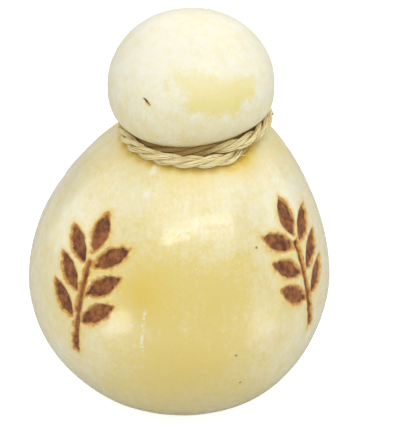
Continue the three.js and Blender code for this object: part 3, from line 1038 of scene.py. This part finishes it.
def cheese_mesh(sizes):
    """The cheese as a closed grid with what its material reads, the places of its specks, and its nick."""
    pear = Pear(sizes)
    skin = skin_grid(pear)
    edge = burn_distance(pear, skin.points)
    relief, chalk = rind_relief(skin, edge, sizes.burn_depth * MM)
    points = skin.points + outward(skin.points) * relief[..., None]
    points[skin.level <= 0.0, 2] = 0.0

    def spot(azimuth, rise):
        """A place on the finished skin, in metres."""
        x, y = local_plane(skin.angle, skin.level, skin.radius, azimuth, rise)
        moved = (points - skin.points).reshape(-1, 3)[np.argmin(np.hypot(x, y))]
        reach = np.interp(rise, skin.level[:, 0], skin.radius[:, 0])
        at = pear.settle(np.radians(azimuth), reach, np.array(rise), 0.0)
        return Vector((at + moved - MIDDLE) / MM)

    crown = np.array([[*points[-1].mean(0)[:2], points[-1, :, 2].mean() + CROWN_RISE]])
    sole = np.array([[*points[0].mean(0)[:2], 0.0]])
    quads, faces = closed_faces(*skin.angle.shape)
    vertices = np.concatenate((points.reshape(-1, 3), crown, sole)) - MIDDLE
    mesh = bpy.data.meshes.new("cheese_body")
    mesh.from_pydata((vertices / MM).tolist(), [], faces)
    mesh.polygons.foreach_set("use_smooth", np.ones(len(mesh.polygons), bool))
    inside = np.zeros(len(faces), np.int32)
    inside[: len(quads)] = edge.ravel()[quads].max(-1) < CHAR_EDGE
    mesh.polygons.foreach_set("material_index", inside)
    fields = {**rind_fields(pear, skin, points), "burn": edge, "chalk": chalk}
    for name, values in fields.items():
        flat = np.concatenate((values.ravel(), (values[-1].mean(), values[0].mean())))
        layer = mesh.attributes.new(name, "FLOAT", "POINT")
        layer.data.foreach_set("value", flat.astype(np.float32))
    round_x = SKIN_RADIUS * np.sin(skin.angle)
    round_y = -SKIN_RADIUS * np.cos(skin.angle)
    rolled = np.stack((round_x, round_y, np.broadcast_to(skin.rows[:, None], skin.angle.shape)), -1)
    ends = np.array(((0.0, 0.0, skin.rows[-1]), (0.0, 0.0, skin.rows[0])))
    layer = mesh.attributes.new("skin", "FLOAT_VECTOR", "POINT")
    rolled = np.concatenate((rolled.reshape(-1, 3), ends)) / MM
    layer.data.foreach_set("vector", rolled.astype(np.float32).ravel())
    mesh.validate()
    mesh.update()
    return mesh, [spot(azimuth, rise) for azimuth, rise in SPECKS], nick_frame(spot)


# Finish of the rind


def plane_of(tree, place, patch, half_long, half_wide):
    """How far a place is along and across a small flat patch of the skin, in its half sizes."""
    middle, along, across = patch
    off = vector_sum(tree, "SUBTRACT", place, middle)
    far = vector_size(tree, "DOT_PRODUCT", off, along / half_long)
    wide = vector_size(tree, "DOT_PRODUCT", off, across / half_wide)
    return far, wide


def oval(far, wide, middle, reach):
    """Distance from an oval's middle, 1 on its edge."""
    x = (far - middle[0]) / reach[0]
    y = (wide - middle[1]) / reach[1]
    return vector_size(far.tree, "LENGTH", combined(far.tree, x, y))


class Rind:
    """Layers of the rind's colour in one material, and the masks that its finish shares with them."""

    def __init__(self, tree, sizes):
        self.tree = tree
        self.sizes = sizes
        self.place = put(tree, "ShaderNodeTexCoord").outputs["Object"]
        self.up = Mask(put(tree, "ShaderNodeSeparateXYZ", {0: self.place}).outputs[2])
        self.skin = vector_field(tree, "skin")
        self.streak = mottle(tree, stretched(tree, self.skin, STREAK_STRETCH), *STREAKS)
        self.cloud = {name: mottle(tree, self.place, *values) for name, values in CLOUDS.items()}
        self.cloud["streaky"] = self.streak * self.cloud["patchy"]

    def field(self, name, shares):
        """A number of the mesh, loosened by clouds."""
        return self.loosened(field(self.tree, name), shares)

    def loosened(self, mask, shares):
        """A mask made uneven by clouds, each with its share."""
        for name, share in shares.items():
            mask = mask + self.cloud[name].centred(share)
        return mask

    def coat(self, colour, mask, name):
        """One of the cheese's colours over what lies below."""
        return mixed(mask, colour, rgba(getattr(self.sizes, name)))

    def plain(self):
        """Butter and ivory, mottled and streaked, with clear fields, oily gold and dry bloom; painted light
        too: a whiter crown, golden and ochre shadow under the rope, paler shoulders and sides, and pale
        patches and flecks that stand for reflections and glints.
        """
        cloud = self.cloud
        self.pale = self.field("pale", PALE_LOOSE).clamped()
        # The pale mask also carries the painted sheen on the shoulders and low sides
        colour = mixed(self.pale, rgba(self.sizes.butter), rgba(self.sizes.ivory))
        # Painted top light: the pale head whitened towards its top
        colour = self.coat(colour, self.up.ramp(*CROWN_LIGHT_FADE) * self.pale, "bloom_and_highlight")
        scuff = cloud["scuff"] * cloud["small"] * self.up.ramp(*SCUFF_FADE)
        colour = self.coat(colour, scuff, "butter")
        clear = self.field("window", WINDOW_LOOSE).ramp(2.6, -2.4)
        colour = self.coat(colour, clear * self.up.ramp(*WINDOW_FADE), "wax")
        # Oily gold, and painted golden and ochre shadow under the rope
        colour = self.coat(colour, self.field("golden", GOLD_LOOSE).ramp(0.0, 1.1), "gold")
        colour = self.coat(colour, field(self.tree, "rope_shadow") * (cloud["small"] * 0.3 + 0.7), "rope_shadow_ochre")
        # Pale patches of dry bloom and painted reflection
        colour = self.coat(colour, field(self.tree, "bloom_and_highlight") * (cloud["fine"] * 0.55 + 0.3), "bloom_and_highlight")
        return self.coat(colour, field(self.tree, "chalk") * 0.7, "bloom_and_highlight")

    def burnt(self, colour):
        """Burnt leaves with a scorched rim and a golden halo."""
        cloud = self.cloud
        edge = self.field("burn", BURN_LOOSE)
        colour = self.coat(colour, edge.ramp(*HALO_FADE), "gold")
        colour = self.coat(colour, edge.ramp(*SCORCH_FADE), "scorch")
        deep = cloud["crust"] * 0.45 + cloud["patchy"] * 0.35 + self.streak * 0.2
        deep = deep.ramp(0.02, 0.98) * edge.ramp(*CRUST_FADE)
        self.char = edge.ramp(*CHAR_FADE)
        return mixed(self.char, colour, mixed(deep, rgba(self.sizes.char_dark), rgba(self.sizes.char_light)))

    def nicked(self, colour, nick):
        """The dark slit on the head and its dry rim."""
        far, wide = plane_of(self.tree, self.place, nick, 0.5 * NICK[2] / MM, 0.5 * NICK[3] / MM)
        lip = self.loosened(oval(far, wide, (0.35, -0.9), (0.75, 1.5)), NICK_LOOSE).ramp(1.1, 0.45)
        slit = self.loosened(oval(far, wide, (0.0, 0.0), (1.0, 1.0)), NICK_LOOSE).ramp(1.1, 0.7)
        self.broken = lip.at_least(slit)
        colour = mixed(lip * 0.85, colour, NICK_RIM)
        return mixed(slit, colour, mixed(far.ramp(-0.15, 0.45), NICK_DARK, NICK_LIGHT))

    def flecked_and_glinted(self, colour):
        """Pale flecks, partly painted glints, and a painted glint along the fine scratch on the front."""
        left, low, high = (size / MM for size in SCRATCH_GLINT)
        fade = SCRATCH_GLINT_FADE / MM
        across = put(self.tree, "ShaderNodeSeparateXYZ", {0: self.skin}).outputs
        bent = abs(self.loosened(Mask(across[0]), SCRATCH_GLINT_LOOSE) + left)
        # Painted glint along the scratch
        scratch_glint = bent.ramp(0.0008, 0.0002) * Mask(across[1]).ramp(0.0, -0.02)
        scratch_glint = scratch_glint * self.up.ramp(low - fade, low) * self.up.ramp(high + fade, high)
        scratch_glint = scratch_glint * self.cloud["chips"]
        # Pale flecks, partly painted glints
        fleck_glint = (self.cloud["fleck_glint"] * self.up.ramp(*FLECK_GLINT_FADE)).at_least(scratch_glint * 0.75)
        return self.coat(colour, fleck_glint * (1.0 - self.char), "bloom_and_highlight")

    def speckled(self, colour, specks):
        """Small dark specks."""
        for speck in specks:
            gap = vector_size(self.tree, "DISTANCE", self.place, speck)
            colour = mixed(gap.ramp(*SPECK_FADE), colour, SPECK_COLOUR)
        return colour


def rind_material(name, sizes, specks, nick, gloss):
    """Waxy rind, dry on the head and oily below, with burnt leaves."""
    material, tree, shader = new_material(name)
    rind = Rind(tree, sizes)
    cloud = rind.cloud
    colour = rind.nicked(rind.burnt(rind.plain()), nick)
    colour = rind.speckled(rind.flecked_and_glinted(colour), specks)
    rough = rind.pale * 0.03 + rind.up.ramp(*DRY_FADE) + cloud["patchy"] * 0.06 + 0.3
    rough = rough + rind.char * 0.22 + rind.broken * 0.5
    beads = cloud["fine"] * 0.6 + cloud["torn"] * 0.7
    oily = rind.up.ramp(*OILY_FADE) * (1.0 - rind.char) * beads.ramp(0.3, 0.95, 0.55, 1.0)
    height = grain(tree, rind.place, 700.0, 1900.0, 0.35) + rind.streak * 0.06
    height = height + cloud["crust"] * rind.char * 2.0
    looks = {
        "Base Color": colour,
        "Roughness": rough,
        "Coat Weight": oily,
        "Coat Roughness": 0.15,
        "Normal": bumped(tree, height, 0.4, 0.0002),
        "Subsurface Weight": 0.4,
        "Subsurface Radius": (1.0, 0.8, 0.35),
        "Subsurface Scale": 0.004,
        "Specular IOR Level": gloss,
    }
    dress(shader, looks)
    return material


# Route of the rope


def on_ring(angle, radius, height, girth=1.0):
    """A point of the rope by its angle from the front, its radius and height, and its girth there."""
    return (RING_X + radius * math.sin(angle), -radius * math.cos(angle), height, girth)


def knot_point(u, side, ply):
    """A leg of the reef knot; side is the leg above or below, ply is +1 or -1 for the two ropes."""
    wave = min(max(ply * u / KNOT_HALF, -1.0), 1.0)
    spread = math.sin(math.pi * min(max(wave, -0.5), 0.5))
    width = 0.5 * (KNOT_WIDE + KNOT_NARROW) + 0.5 * (KNOT_WIDE - KNOT_NARROW) * spread
    lift = -ply * KNOT_PLY * math.cos(math.pi * wave)
    return on_ring(math.pi - u / KNOT_RADIUS, KNOT_RADIUS + lift, KNOT_HEIGHT + side * width)


def knot_bow(turn, ply):
    """The bend where a rope turns back in the knot."""
    angle = math.pi - ply * (KNOT_HALF + KNOT_BOW * math.cos(turn)) / KNOT_RADIUS
    return on_ring(angle, KNOT_RADIUS + ply * KNOT_PLY, KNOT_HEIGHT + KNOT_WIDE * math.sin(turn))


def knot_side(ply):
    """From the end of a tail through one rope of the knot to the end of its upper leg."""
    points = []
    start = math.pi + ply * KNOT_HALF / KNOT_RADIUS
    for step in range(TAIL_STEPS, 0, -1):
        t = step / TAIL_STEPS
        angle = start + ply * math.radians(TAIL_SPAN) * t
        share = float(ease((t - 0.45) / 0.55))
        radius = lerp(KNOT_RADIUS + ply * KNOT_PLY, TAIL_RADIUS + ply * TAIL_OFFSET, share)
        points.append(on_ring(angle, radius, KNOT_HEIGHT - KNOT_NARROW - TAIL_DROP * t**1.15))
    leg = [ply * KNOT_HALF * (step / LEG_STEPS - 1) for step in range(2 * LEG_STEPS + 1)]
    points += [knot_point(u, -1, ply) for u in leg]
    points += [knot_bow(math.pi * (step / BOW_STEPS - 0.5), ply) for step in range(1, BOW_STEPS)]
    points += [knot_point(u, 1, ply) for u in leg[::-1]]
    return points


def lead(lap, ply):
    """From the knot's upper leg to a lap."""
    points = []
    start = math.pi + ply * KNOT_HALF / KNOT_RADIUS
    for step in range(1, LEAD_STEPS):
        t = step / LEAD_STEPS
        angle = start + ply * math.radians(LEAD_SPAN) * t
        radius, height, _, _ = lap_place(lap, angle - 2.0 * math.pi if angle > math.pi else angle)
        radius = lerp(KNOT_RADIUS + ply * KNOT_PLY, radius, float(ease(1.1 * t - 0.1)))
        height = lerp(KNOT_HEIGHT + KNOT_NARROW, height, float(ease(1.15 * t)))
        points.append(on_ring(angle, radius, height))
    return points


def rope_route():
    """Centre line and girth of the rope: a tail, the knot, two laps of the neck, the knot and a tail."""
    reach = 180.0 - math.degrees(KNOT_HALF / KNOT_RADIUS) - LEAD_SPAN
    points = knot_side(1) + lead(0, 1)
    count = round((360.0 + 2.0 * reach) / LAP_STEP)
    for step in range(count + 1):
        degrees = (360.0 + 2.0 * reach) * step / count - reach
        lap = 1 if degrees > 180.0 else 0
        angle = math.radians(degrees - 360.0 * lap)
        radius, height, girth, _ = lap_place(lap, angle)
        points.append(on_ring(angle, radius, height, girth))
    points += lead(1, -1)[::-1] + knot_side(-1)[::-1]
    return np.array(points, float)


# Laying of the rope


def wound(tree, curve, angle, reach):
    """A curve moved off its line, turned about it by an angle."""
    tangent = put(tree, "GeometryNodeInputTangent").outputs[0]
    normal = put(tree, "GeometryNodeInputNormal").outputs[0]
    beside = vector_sum(tree, "CROSS_PRODUCT", tangent, normal)
    parts = []
    for way, turn in ((normal, "COSINE"), (beside, "SINE")):
        inputs = {0: way, "Scale": angle.reckoned(turn, angle) * reach}
        parts.append(put(tree, "ShaderNodeVectorMath", inputs, operation="SCALE").outputs[0])
    offset = vector_sum(tree, "ADD", *parts)
    return put(tree, "GeometryNodeSetPosition", {"Geometry": curve, "Offset": offset}).outputs[0]


def uneven(tree, identity, low, high, seed):
    """A random number for each identity."""
    inputs = {2: low, 3: high, "ID": identity, "Seed": seed}
    return Mask(put(tree, "FunctionNodeRandomValue", inputs, data_type="FLOAT").outputs[1])


def kept(tree, geometry, name, value, kind="FLOAT"):
    """Geometry with a named attribute stored on its points."""
    inputs = {"Geometry": geometry, "Name": name, "Value": value}
    return put(tree, "GeometryNodeStoreNamedAttribute", inputs, data_type=kind, domain="POINT").outputs[0]


def named(tree, name):
    """A number that was stored on the points."""
    return Mask(put(tree, "GeometryNodeInputNamedAttribute", {"Name": name}, data_type="FLOAT").outputs[0])


def copied(tree, curve, amount):
    """Copies of a curve, and each copy's number."""
    inputs = {"Geometry": curve, "Amount": amount}
    made = put(tree, "GeometryNodeDuplicateElements", inputs, domain="SPLINE")
    return made.outputs["Geometry"], Mask(made.outputs["Duplicate Index"])


def tube(tree, curve, sides, radius, scale=1.0):
    """A closed skin along a curve."""
    ring = put(tree, "GeometryNodeCurvePrimitiveCircle", {"Resolution": sides, "Radius": radius}).outputs[0]
    inputs = {"Curve": curve, "Profile Curve": ring, "Scale": scale, "Fill Caps": True}
    return put(tree, "GeometryNodeCurveToMesh", inputs).outputs[0]


def stray_fibres(tree, curve, count, seed):
    """Short bent hairs that stand off a curve."""
    roots = put(tree, "GeometryNodeCurveToPoints", {"Curve": curve, "Count": count}, mode="COUNT").outputs
    index = put(tree, "GeometryNodeInputIndex").outputs[0]
    bend = put(tree, "GeometryNodeCurveQuadraticBezier", HAIR_BEND).outputs[0]
    spin = uneven(tree, index, 0.0, 2.0 * math.pi, seed + 11)
    axis = {"Axis": (0.0, 0.0, 1.0), "Angle": spin}
    about = put(tree, "FunctionNodeAxisAngleToRotation", axis).outputs[0]
    turns = {"Rotation": roots["Rotation"], "Rotate By": about}
    facing = put(tree, "FunctionNodeRotateRotation", turns, rotation_space="LOCAL").outputs[0]
    longer = uneven(tree, index, *HAIR_LENGTHS, seed + 13)
    stand = uneven(tree, index, *HAIR_STANDS, seed + 15)
    inputs = {
        "Points": roots["Points"],
        "Instance": tube(tree, bend, HAIR_SIDES, HAIR_RADIUS),
        "Rotation": facing,
        "Scale": combined(tree, stand, stand, longer),
    }
    hairs = put(tree, "GeometryNodeInstanceOnPoints", inputs).outputs[0]
    hairs = put(tree, "GeometryNodeRealizeInstances", {"Geometry": hairs}).outputs[0]
    return kept(tree, hairs, "tone", HAIR_TONE)


def rope_tree(material, values):
    """Geometry Nodes that lay strands of yarns along a route, with loose fibres and frayed ends."""
    tree = bpy.data.node_groups.new("laid_rope", "GeometryNodeTree")
    tree.interface.new_socket(name="Route", in_out="INPUT", socket_type="NodeSocketGeometry")
    for name, value in values.items():
        kind = "NodeSocketInt" if isinstance(value, int) else "NodeSocketFloat"
        tree.interface.new_socket(name=name, in_out="INPUT", socket_type=kind).default_value = value
    tree.interface.new_socket(name="Rope", in_out="OUTPUT", socket_type="NodeSocketGeometry")
    given = tree.nodes.new("NodeGroupInput").outputs
    end = tree.nodes.new("NodeGroupOutput")
    seed = Mask(given["Seed"])
    full_turn = 2.0 * math.pi

    line = {"Curve": given["Route"]}
    smooth = put(tree, "GeometryNodeCurveSplineType", line, spline_type="CATMULL_ROM").outputs[0]
    steps = {"Curve": smooth, "Length": ROUTE_STEP}
    route = put(tree, "GeometryNodeResampleCurve", steps, mode="LENGTH").outputs[0]
    along = Mask(put(tree, "GeometryNodeSplineParameter").outputs["Length"])
    whole = Mask(put(tree, "GeometryNodeSplineLength").outputs["Length"])
    route = kept(tree, route, "rope_run", along)
    route = kept(tree, route, "rope_fray", along.at_most(whole - along).ramp(FRAY_LENGTH, 0.0))
    route = kept(tree, route, "rope_girth", put(tree, "GeometryNodeInputRadius").outputs[0])
    route = put(tree, "GeometryNodeSetCurveRadius", {"Curve": route, "Radius": 1.0}).outputs[0]
    run = named(tree, "rope_run")
    half = Mask(given["Rope Radius"]) * named(tree, "rope_girth")

    copies, strand = copied(tree, route, given["Strands"])
    angle = (strand / given["Strands"] - run / given["Lay"]) * full_turn
    strands = wound(tree, copies, angle, half * STRAND_REACH)
    strands = kept(tree, strands, "strand_number", strand * STRAND_NUMBERS)
    core = tube(tree, kept(tree, strands, "tone", CORE_SHADE_TONE), CORE_SIDES, 1.0, half * CORE_RADIUS)

    copies, yarn = copied(tree, strands, given["Yarns"])
    identity = named(tree, "strand_number") + yarn
    place = yarn / given["Yarns"]
    wobble = combined(tree, run * DRIFT_SCALE, identity, seed)
    drift = cloud_of(tree, wobble, 1.0, 1.0) - 0.5
    turn = place + run / YARN_LAY + drift * DRIFT_TURN
    swell = drift * DRIFT_REACH + uneven(tree, identity, *YARN_EVENNESS, seed)
    splay = named(tree, "rope_fray") * uneven(tree, identity, *FRAY_SPLAY, seed + 3)
    yarns = wound(tree, copies, turn * full_turn, half * YARN_REACH * (swell + splay))
    yarns = kept(tree, yarns, "tone", uneven(tree, identity, 0.0, 1.0, seed + 9))
    yarns = kept(tree, yarns, "fibre", combined(tree, run, identity * 0.01, place), "FLOAT_VECTOR")
    thick = half * YARN_RADIUS * uneven(tree, identity, *YARN_SIZES, seed + 5) * (1.0 + drift * DRIFT_SIZE)
    sheath = tube(tree, yarns, YARN_SIDES, 1.0, thick)

    join = tree.nodes.new("GeometryNodeJoinGeometry")
    for part in (core, sheath, stray_fibres(tree, smooth, given["Stray Fibres"], seed)):
        tree.links.new(part, join.inputs[0])
    rounded = {"Geometry": join.outputs[0], "Shade Smooth": True}
    rope = put(tree, "GeometryNodeSetShadeSmooth", rounded).outputs[0]
    rope = put(tree, "GeometryNodeRealizeInstances", {"Geometry": rope}).outputs[0]
    rope = put(tree, "GeometryNodeSetMaterial", {"Geometry": rope, "Material": material}).outputs[0]
    tree.links.new(rope, end.inputs[0])
    return tree


def straw_material(sizes):
    """Dry plant fibre: each yarn its own tone, streaked along its length, darker against the neck with
    painted shade on the inner laps.
    """
    material, tree, shader = new_material("straw")
    place = put(tree, "ShaderNodeTexCoord").outputs["Object"]
    streak = mottle(tree, stretched(tree, vector_field(tree, "fibre"), FIBRE_STRETCH), 1.0, 0.3, 0.7, 3.0)
    blotch = mottle(tree, place, 160.0, 0.3, 0.7, 3.0)
    own = field(tree, "tone")
    tone = own * 0.5 + streak * 0.3 + blotch * 0.3
    colour = mixed(tone.clamped(), rgba(sizes.tan), rgba(sizes.pale))
    # Painted shade on the core, in the gaps between strands
    colour = mixed(own.ramp(0.0, -0.5), colour, rgba(sizes.deep))
    axis = ((RING_X - MIDDLE[0]) / MM, -MIDDLE[1] / MM, 0.0)
    apart = vector_size(tree, "DISTANCE", vector_sum(tree, "MULTIPLY", place, (1.0, 1.0, 0.0)), axis)
    # Painted shade on the inner laps, under the head and the outer lap
    inner = field(tree, "rope_girth").ramp(1.14, 1.02) * apart.ramp(0.0352, 0.0325)
    height = streak + grain(tree, place, 1500.0, 4000.0, 0.4)
    looks = {
        "Base Color": mixed(inner * 0.85, colour, rgba(sizes.shaded)),
        "Roughness": streak * 0.15 + 0.6,
        "Normal": bumped(tree, height, 0.5, 0.0001),
        "Specular IOR Level": 0.35,
    }
    dress(shader, looks)
    return material


def route_curve(points, girths):
    """The route as an open curve object, with the girth as its radius."""
    curve = bpy.data.curves.new("rope_route", "CURVE")
    curve.dimensions = "3D"
    line = curve.splines.new("POLY")
    line.points.add(len(points) - 1)
    for point, place, girth in zip(line.points, points, girths):
        point.co = (*place, 1.0)
        point.radius = girth
    return piece_of("rope_route", curve)


def settled_mesh(holder, name):
    """The plain mesh of an object's evaluated nodes; the object goes."""
    graph = bpy.context.evaluated_depsgraph_get()
    shown = holder.evaluated_get(graph)
    mesh = bpy.data.meshes.new_from_object(shown, preserve_all_data_layers=True, depsgraph=graph)
    if not len(mesh.polygons):
        raise RuntimeError(f"{name} came out empty")
    mesh.name = name
    holder.modifiers.clear()
    data = holder.data
    bpy.data.objects.remove(holder)
    bpy.data.curves.remove(data)
    return mesh


# Stage


def floor_mesh(half):
    """A square floor."""
    mesh = bpy.data.meshes.new("floor")
    corners = [(-half, -half, 0.0), (half, -half, 0.0), (half, half, 0.0), (-half, half, 0.0)]
    mesh.from_pydata(corners, [], [(0, 1, 2, 3)])
    return mesh


def floor_material(settings):
    """Plain floor that reads white to the camera and lights the cheese only with what falls on it."""
    material, tree, shader = new_material("floor")
    dress(shader, {"Base Color": rgba(settings.floor), "Roughness": 0.9})
    seen = put(tree, "ShaderNodeEmission", {"Color": WHITE, "Strength": 0.75})
    both = put(tree, "ShaderNodeAddShader", {0: shader.outputs[0], 1: seen.outputs[0]})
    looking = put(tree, "ShaderNodeLightPath").outputs["Is Camera Ray"]
    mix = put(tree, "ShaderNodeMixShader", {0: looking, 1: shader.outputs[0], 2: both.outputs[0]})
    tree.links.new(mix.outputs[0], tree.nodes["Material Output"].inputs["Surface"])
    return material


def softbox(name, place, aim, size, energy, roll=0.0):
    """A rectangular light turned towards a point, rolled about its own axis."""
    light = bpy.data.lights.new(name, "AREA")
    light.shape = "RECTANGLE"
    light.size, light.size_y = size
    light.energy = energy
    made = piece_of(name, light)
    made.location = place
    made.visible_camera = False
    made.rotation_mode = "QUATERNION"
    facing = (Vector(aim) - Vector(place)).to_track_quat("-Z", "Y")
    made.rotation_quaternion = facing @ Quaternion((0.0, 0.0, 1.0), roll)


# Operators


class CACIOCAVALLO_OT_cheese(bpy.types.Operator):
    """Build the cheese with its rind and burnt leaves"""

    bl_idname = "caciocavallo.cheese"
    bl_label = "Cheese"

    def execute(self, context):
        sizes = context.scene.caciocavallo_cheese
        mesh, specks, nick = cheese_mesh(sizes)
        body = piece_of("cheese_body", mesh)
        for name, gloss in (("rind", 0.6), ("char", 0.3)):
            body.data.materials.append(rind_material(name, sizes, specks, nick, gloss))
        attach(body, "root")
        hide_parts("cheese")
        return {"FINISHED"}


class CACIOCAVALLO_OT_rope(bpy.types.Operator):
    """Lay the rope round the neck and tie it behind"""

    bl_idname = "caciocavallo.rope"
    bl_label = "Rope"

    def execute(self, context):
        sizes = context.scene.caciocavallo_rope
        route = rope_route()
        holder = route_curve((route[:, :3] - MIDDLE) / MM, route[:, 3])
        values = {
            "Rope Radius": sizes.rope_radius,
            "Lay": sizes.lay,
            "Strands": sizes.strands,
            "Yarns": sizes.yarns,
            "Stray Fibres": sizes.strays,
            "Seed": sizes.seed,
        }
        tree = rope_tree(straw_material(sizes), values)
        laying = holder.modifiers.new("laid_rope", "NODES")
        laying.node_group = tree
        for socket in tree.interface.items_tree:
            if socket.name in values and socket.in_out == "INPUT":
                laying[socket.identifier] = values[socket.name]
        rope = piece_of("neck_rope", settled_mesh(holder, "neck_rope"))
        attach(rope, "root")
        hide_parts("rope")
        return {"FINISHED"}


class CACIOCAVALLO_OT_stage(bpy.types.Operator):
    """Set the floor, the light and the camera"""

    bl_idname = "caciocavallo.stage"
    bl_label = "Stage"

    def execute(self, context):
        scene = context.scene
        settings = scene.caciocavallo_stage
        floor = piece_of("floor", floor_mesh(FLOOR_HALF))
        floor.data.materials.append(floor_material(settings))

        world = bpy.data.worlds.new("studio")
        world.use_nodes = True
        dress(world.node_tree.nodes["Background"], {"Color": WHITE, "Strength": settings.surround})
        scene.world = world

        side = settings.side_power
        card = settings.card_power
        softbox("key_softbox", (0.1, -0.45, 1.03), AIM, (1.95, 0.8), settings.key_power)
        softbox("front_strip", (0.24, -1.03, 0.82), AIM, (1.5, 0.13), settings.strip_power, STRIP_ROLL)
        softbox("left_panel", (-1.05, 0.12, 0.32), AIM, (0.9, 0.9), side)
        softbox("right_panel", (1.05, 0.12, 0.32), AIM, (0.9, 0.9), RIGHT_PANEL_SHARE * side)
        softbox("back_panel", (0.0, 0.9, 0.95), AIM, (1.6, 0.9), settings.back_power)
        left_bloom = (-0.029, -0.069, 0.083)
        softbox("left_card", (-0.241, -0.281, 0.046), left_bloom, (0.12, 0.085), card)
        right_bloom = (0.041, -0.064, 0.08)
        softbox("right_card", (0.173, -0.134, 0.026), right_bloom, (0.06, 0.045), RIGHT_CARD_SHARE * card)

        lens = bpy.data.cameras.new("camera")
        lens.lens = settings.lens
        lens.sensor_width = FILM_WIDTH
        camera = piece_of("camera", lens)
        back = Vector((0.0, -math.cos(settings.elevation), math.sin(settings.elevation)))
        camera.location = AIM + back * settings.distance
        camera.rotation_mode = "QUATERNION"
        camera.rotation_quaternion = (-back).to_track_quat("-Z", "Y")
        scene.camera = camera
        scene.view_settings.view_transform = "Standard"
        return {"FINISHED"}


class CACIOCAVALLO_PT_sidebar(bpy.types.Panel):
    """Lists what builds the cheese"""

    bl_idname = "CACIOCAVALLO_PT_sidebar"
    bl_label = "Caciocavallo"
    bl_space_type = "VIEW_3D"
    bl_region_type = "UI"
    bl_category = "Cheese"

    def draw(self, context):
        for operator, group, _ in BUILDERS:
            self.layout.operator(operator.bl_idname)
            settings = getattr(context.scene, group)
            for name in settings.bl_rna.properties.keys():
                if name not in ("rna_type", "name"):
                    self.layout.prop(settings, name)


BUILDERS = (
    (CACIOCAVALLO_OT_cheese, "caciocavallo_cheese", CheeseSettings),
    (CACIOCAVALLO_OT_rope, "caciocavallo_rope", RopeSettings),
    (CACIOCAVALLO_OT_stage, "caciocavallo_stage", StageSettings),
)


def register():
    for operator, group, settings in BUILDERS:
        bpy.utils.register_class(settings)
        setattr(bpy.types.Scene, group, PointerProperty(type=settings))
        bpy.utils.register_class(operator)
    bpy.utils.register_class(CACIOCAVALLO_PT_sidebar)


def unregister():
    bpy.utils.unregister_class(CACIOCAVALLO_PT_sidebar)
    for operator, group, settings in reversed(BUILDERS):
        bpy.utils.unregister_class(operator)
        delattr(bpy.types.Scene, group)
        bpy.utils.unregister_class(settings)


def main():
    register()
    bpy.ops.caciocavallo.cheese()
    bpy.ops.caciocavallo.rope()
    bpy.ops.caciocavallo.stage()


if __name__ == "__main__":
    main()
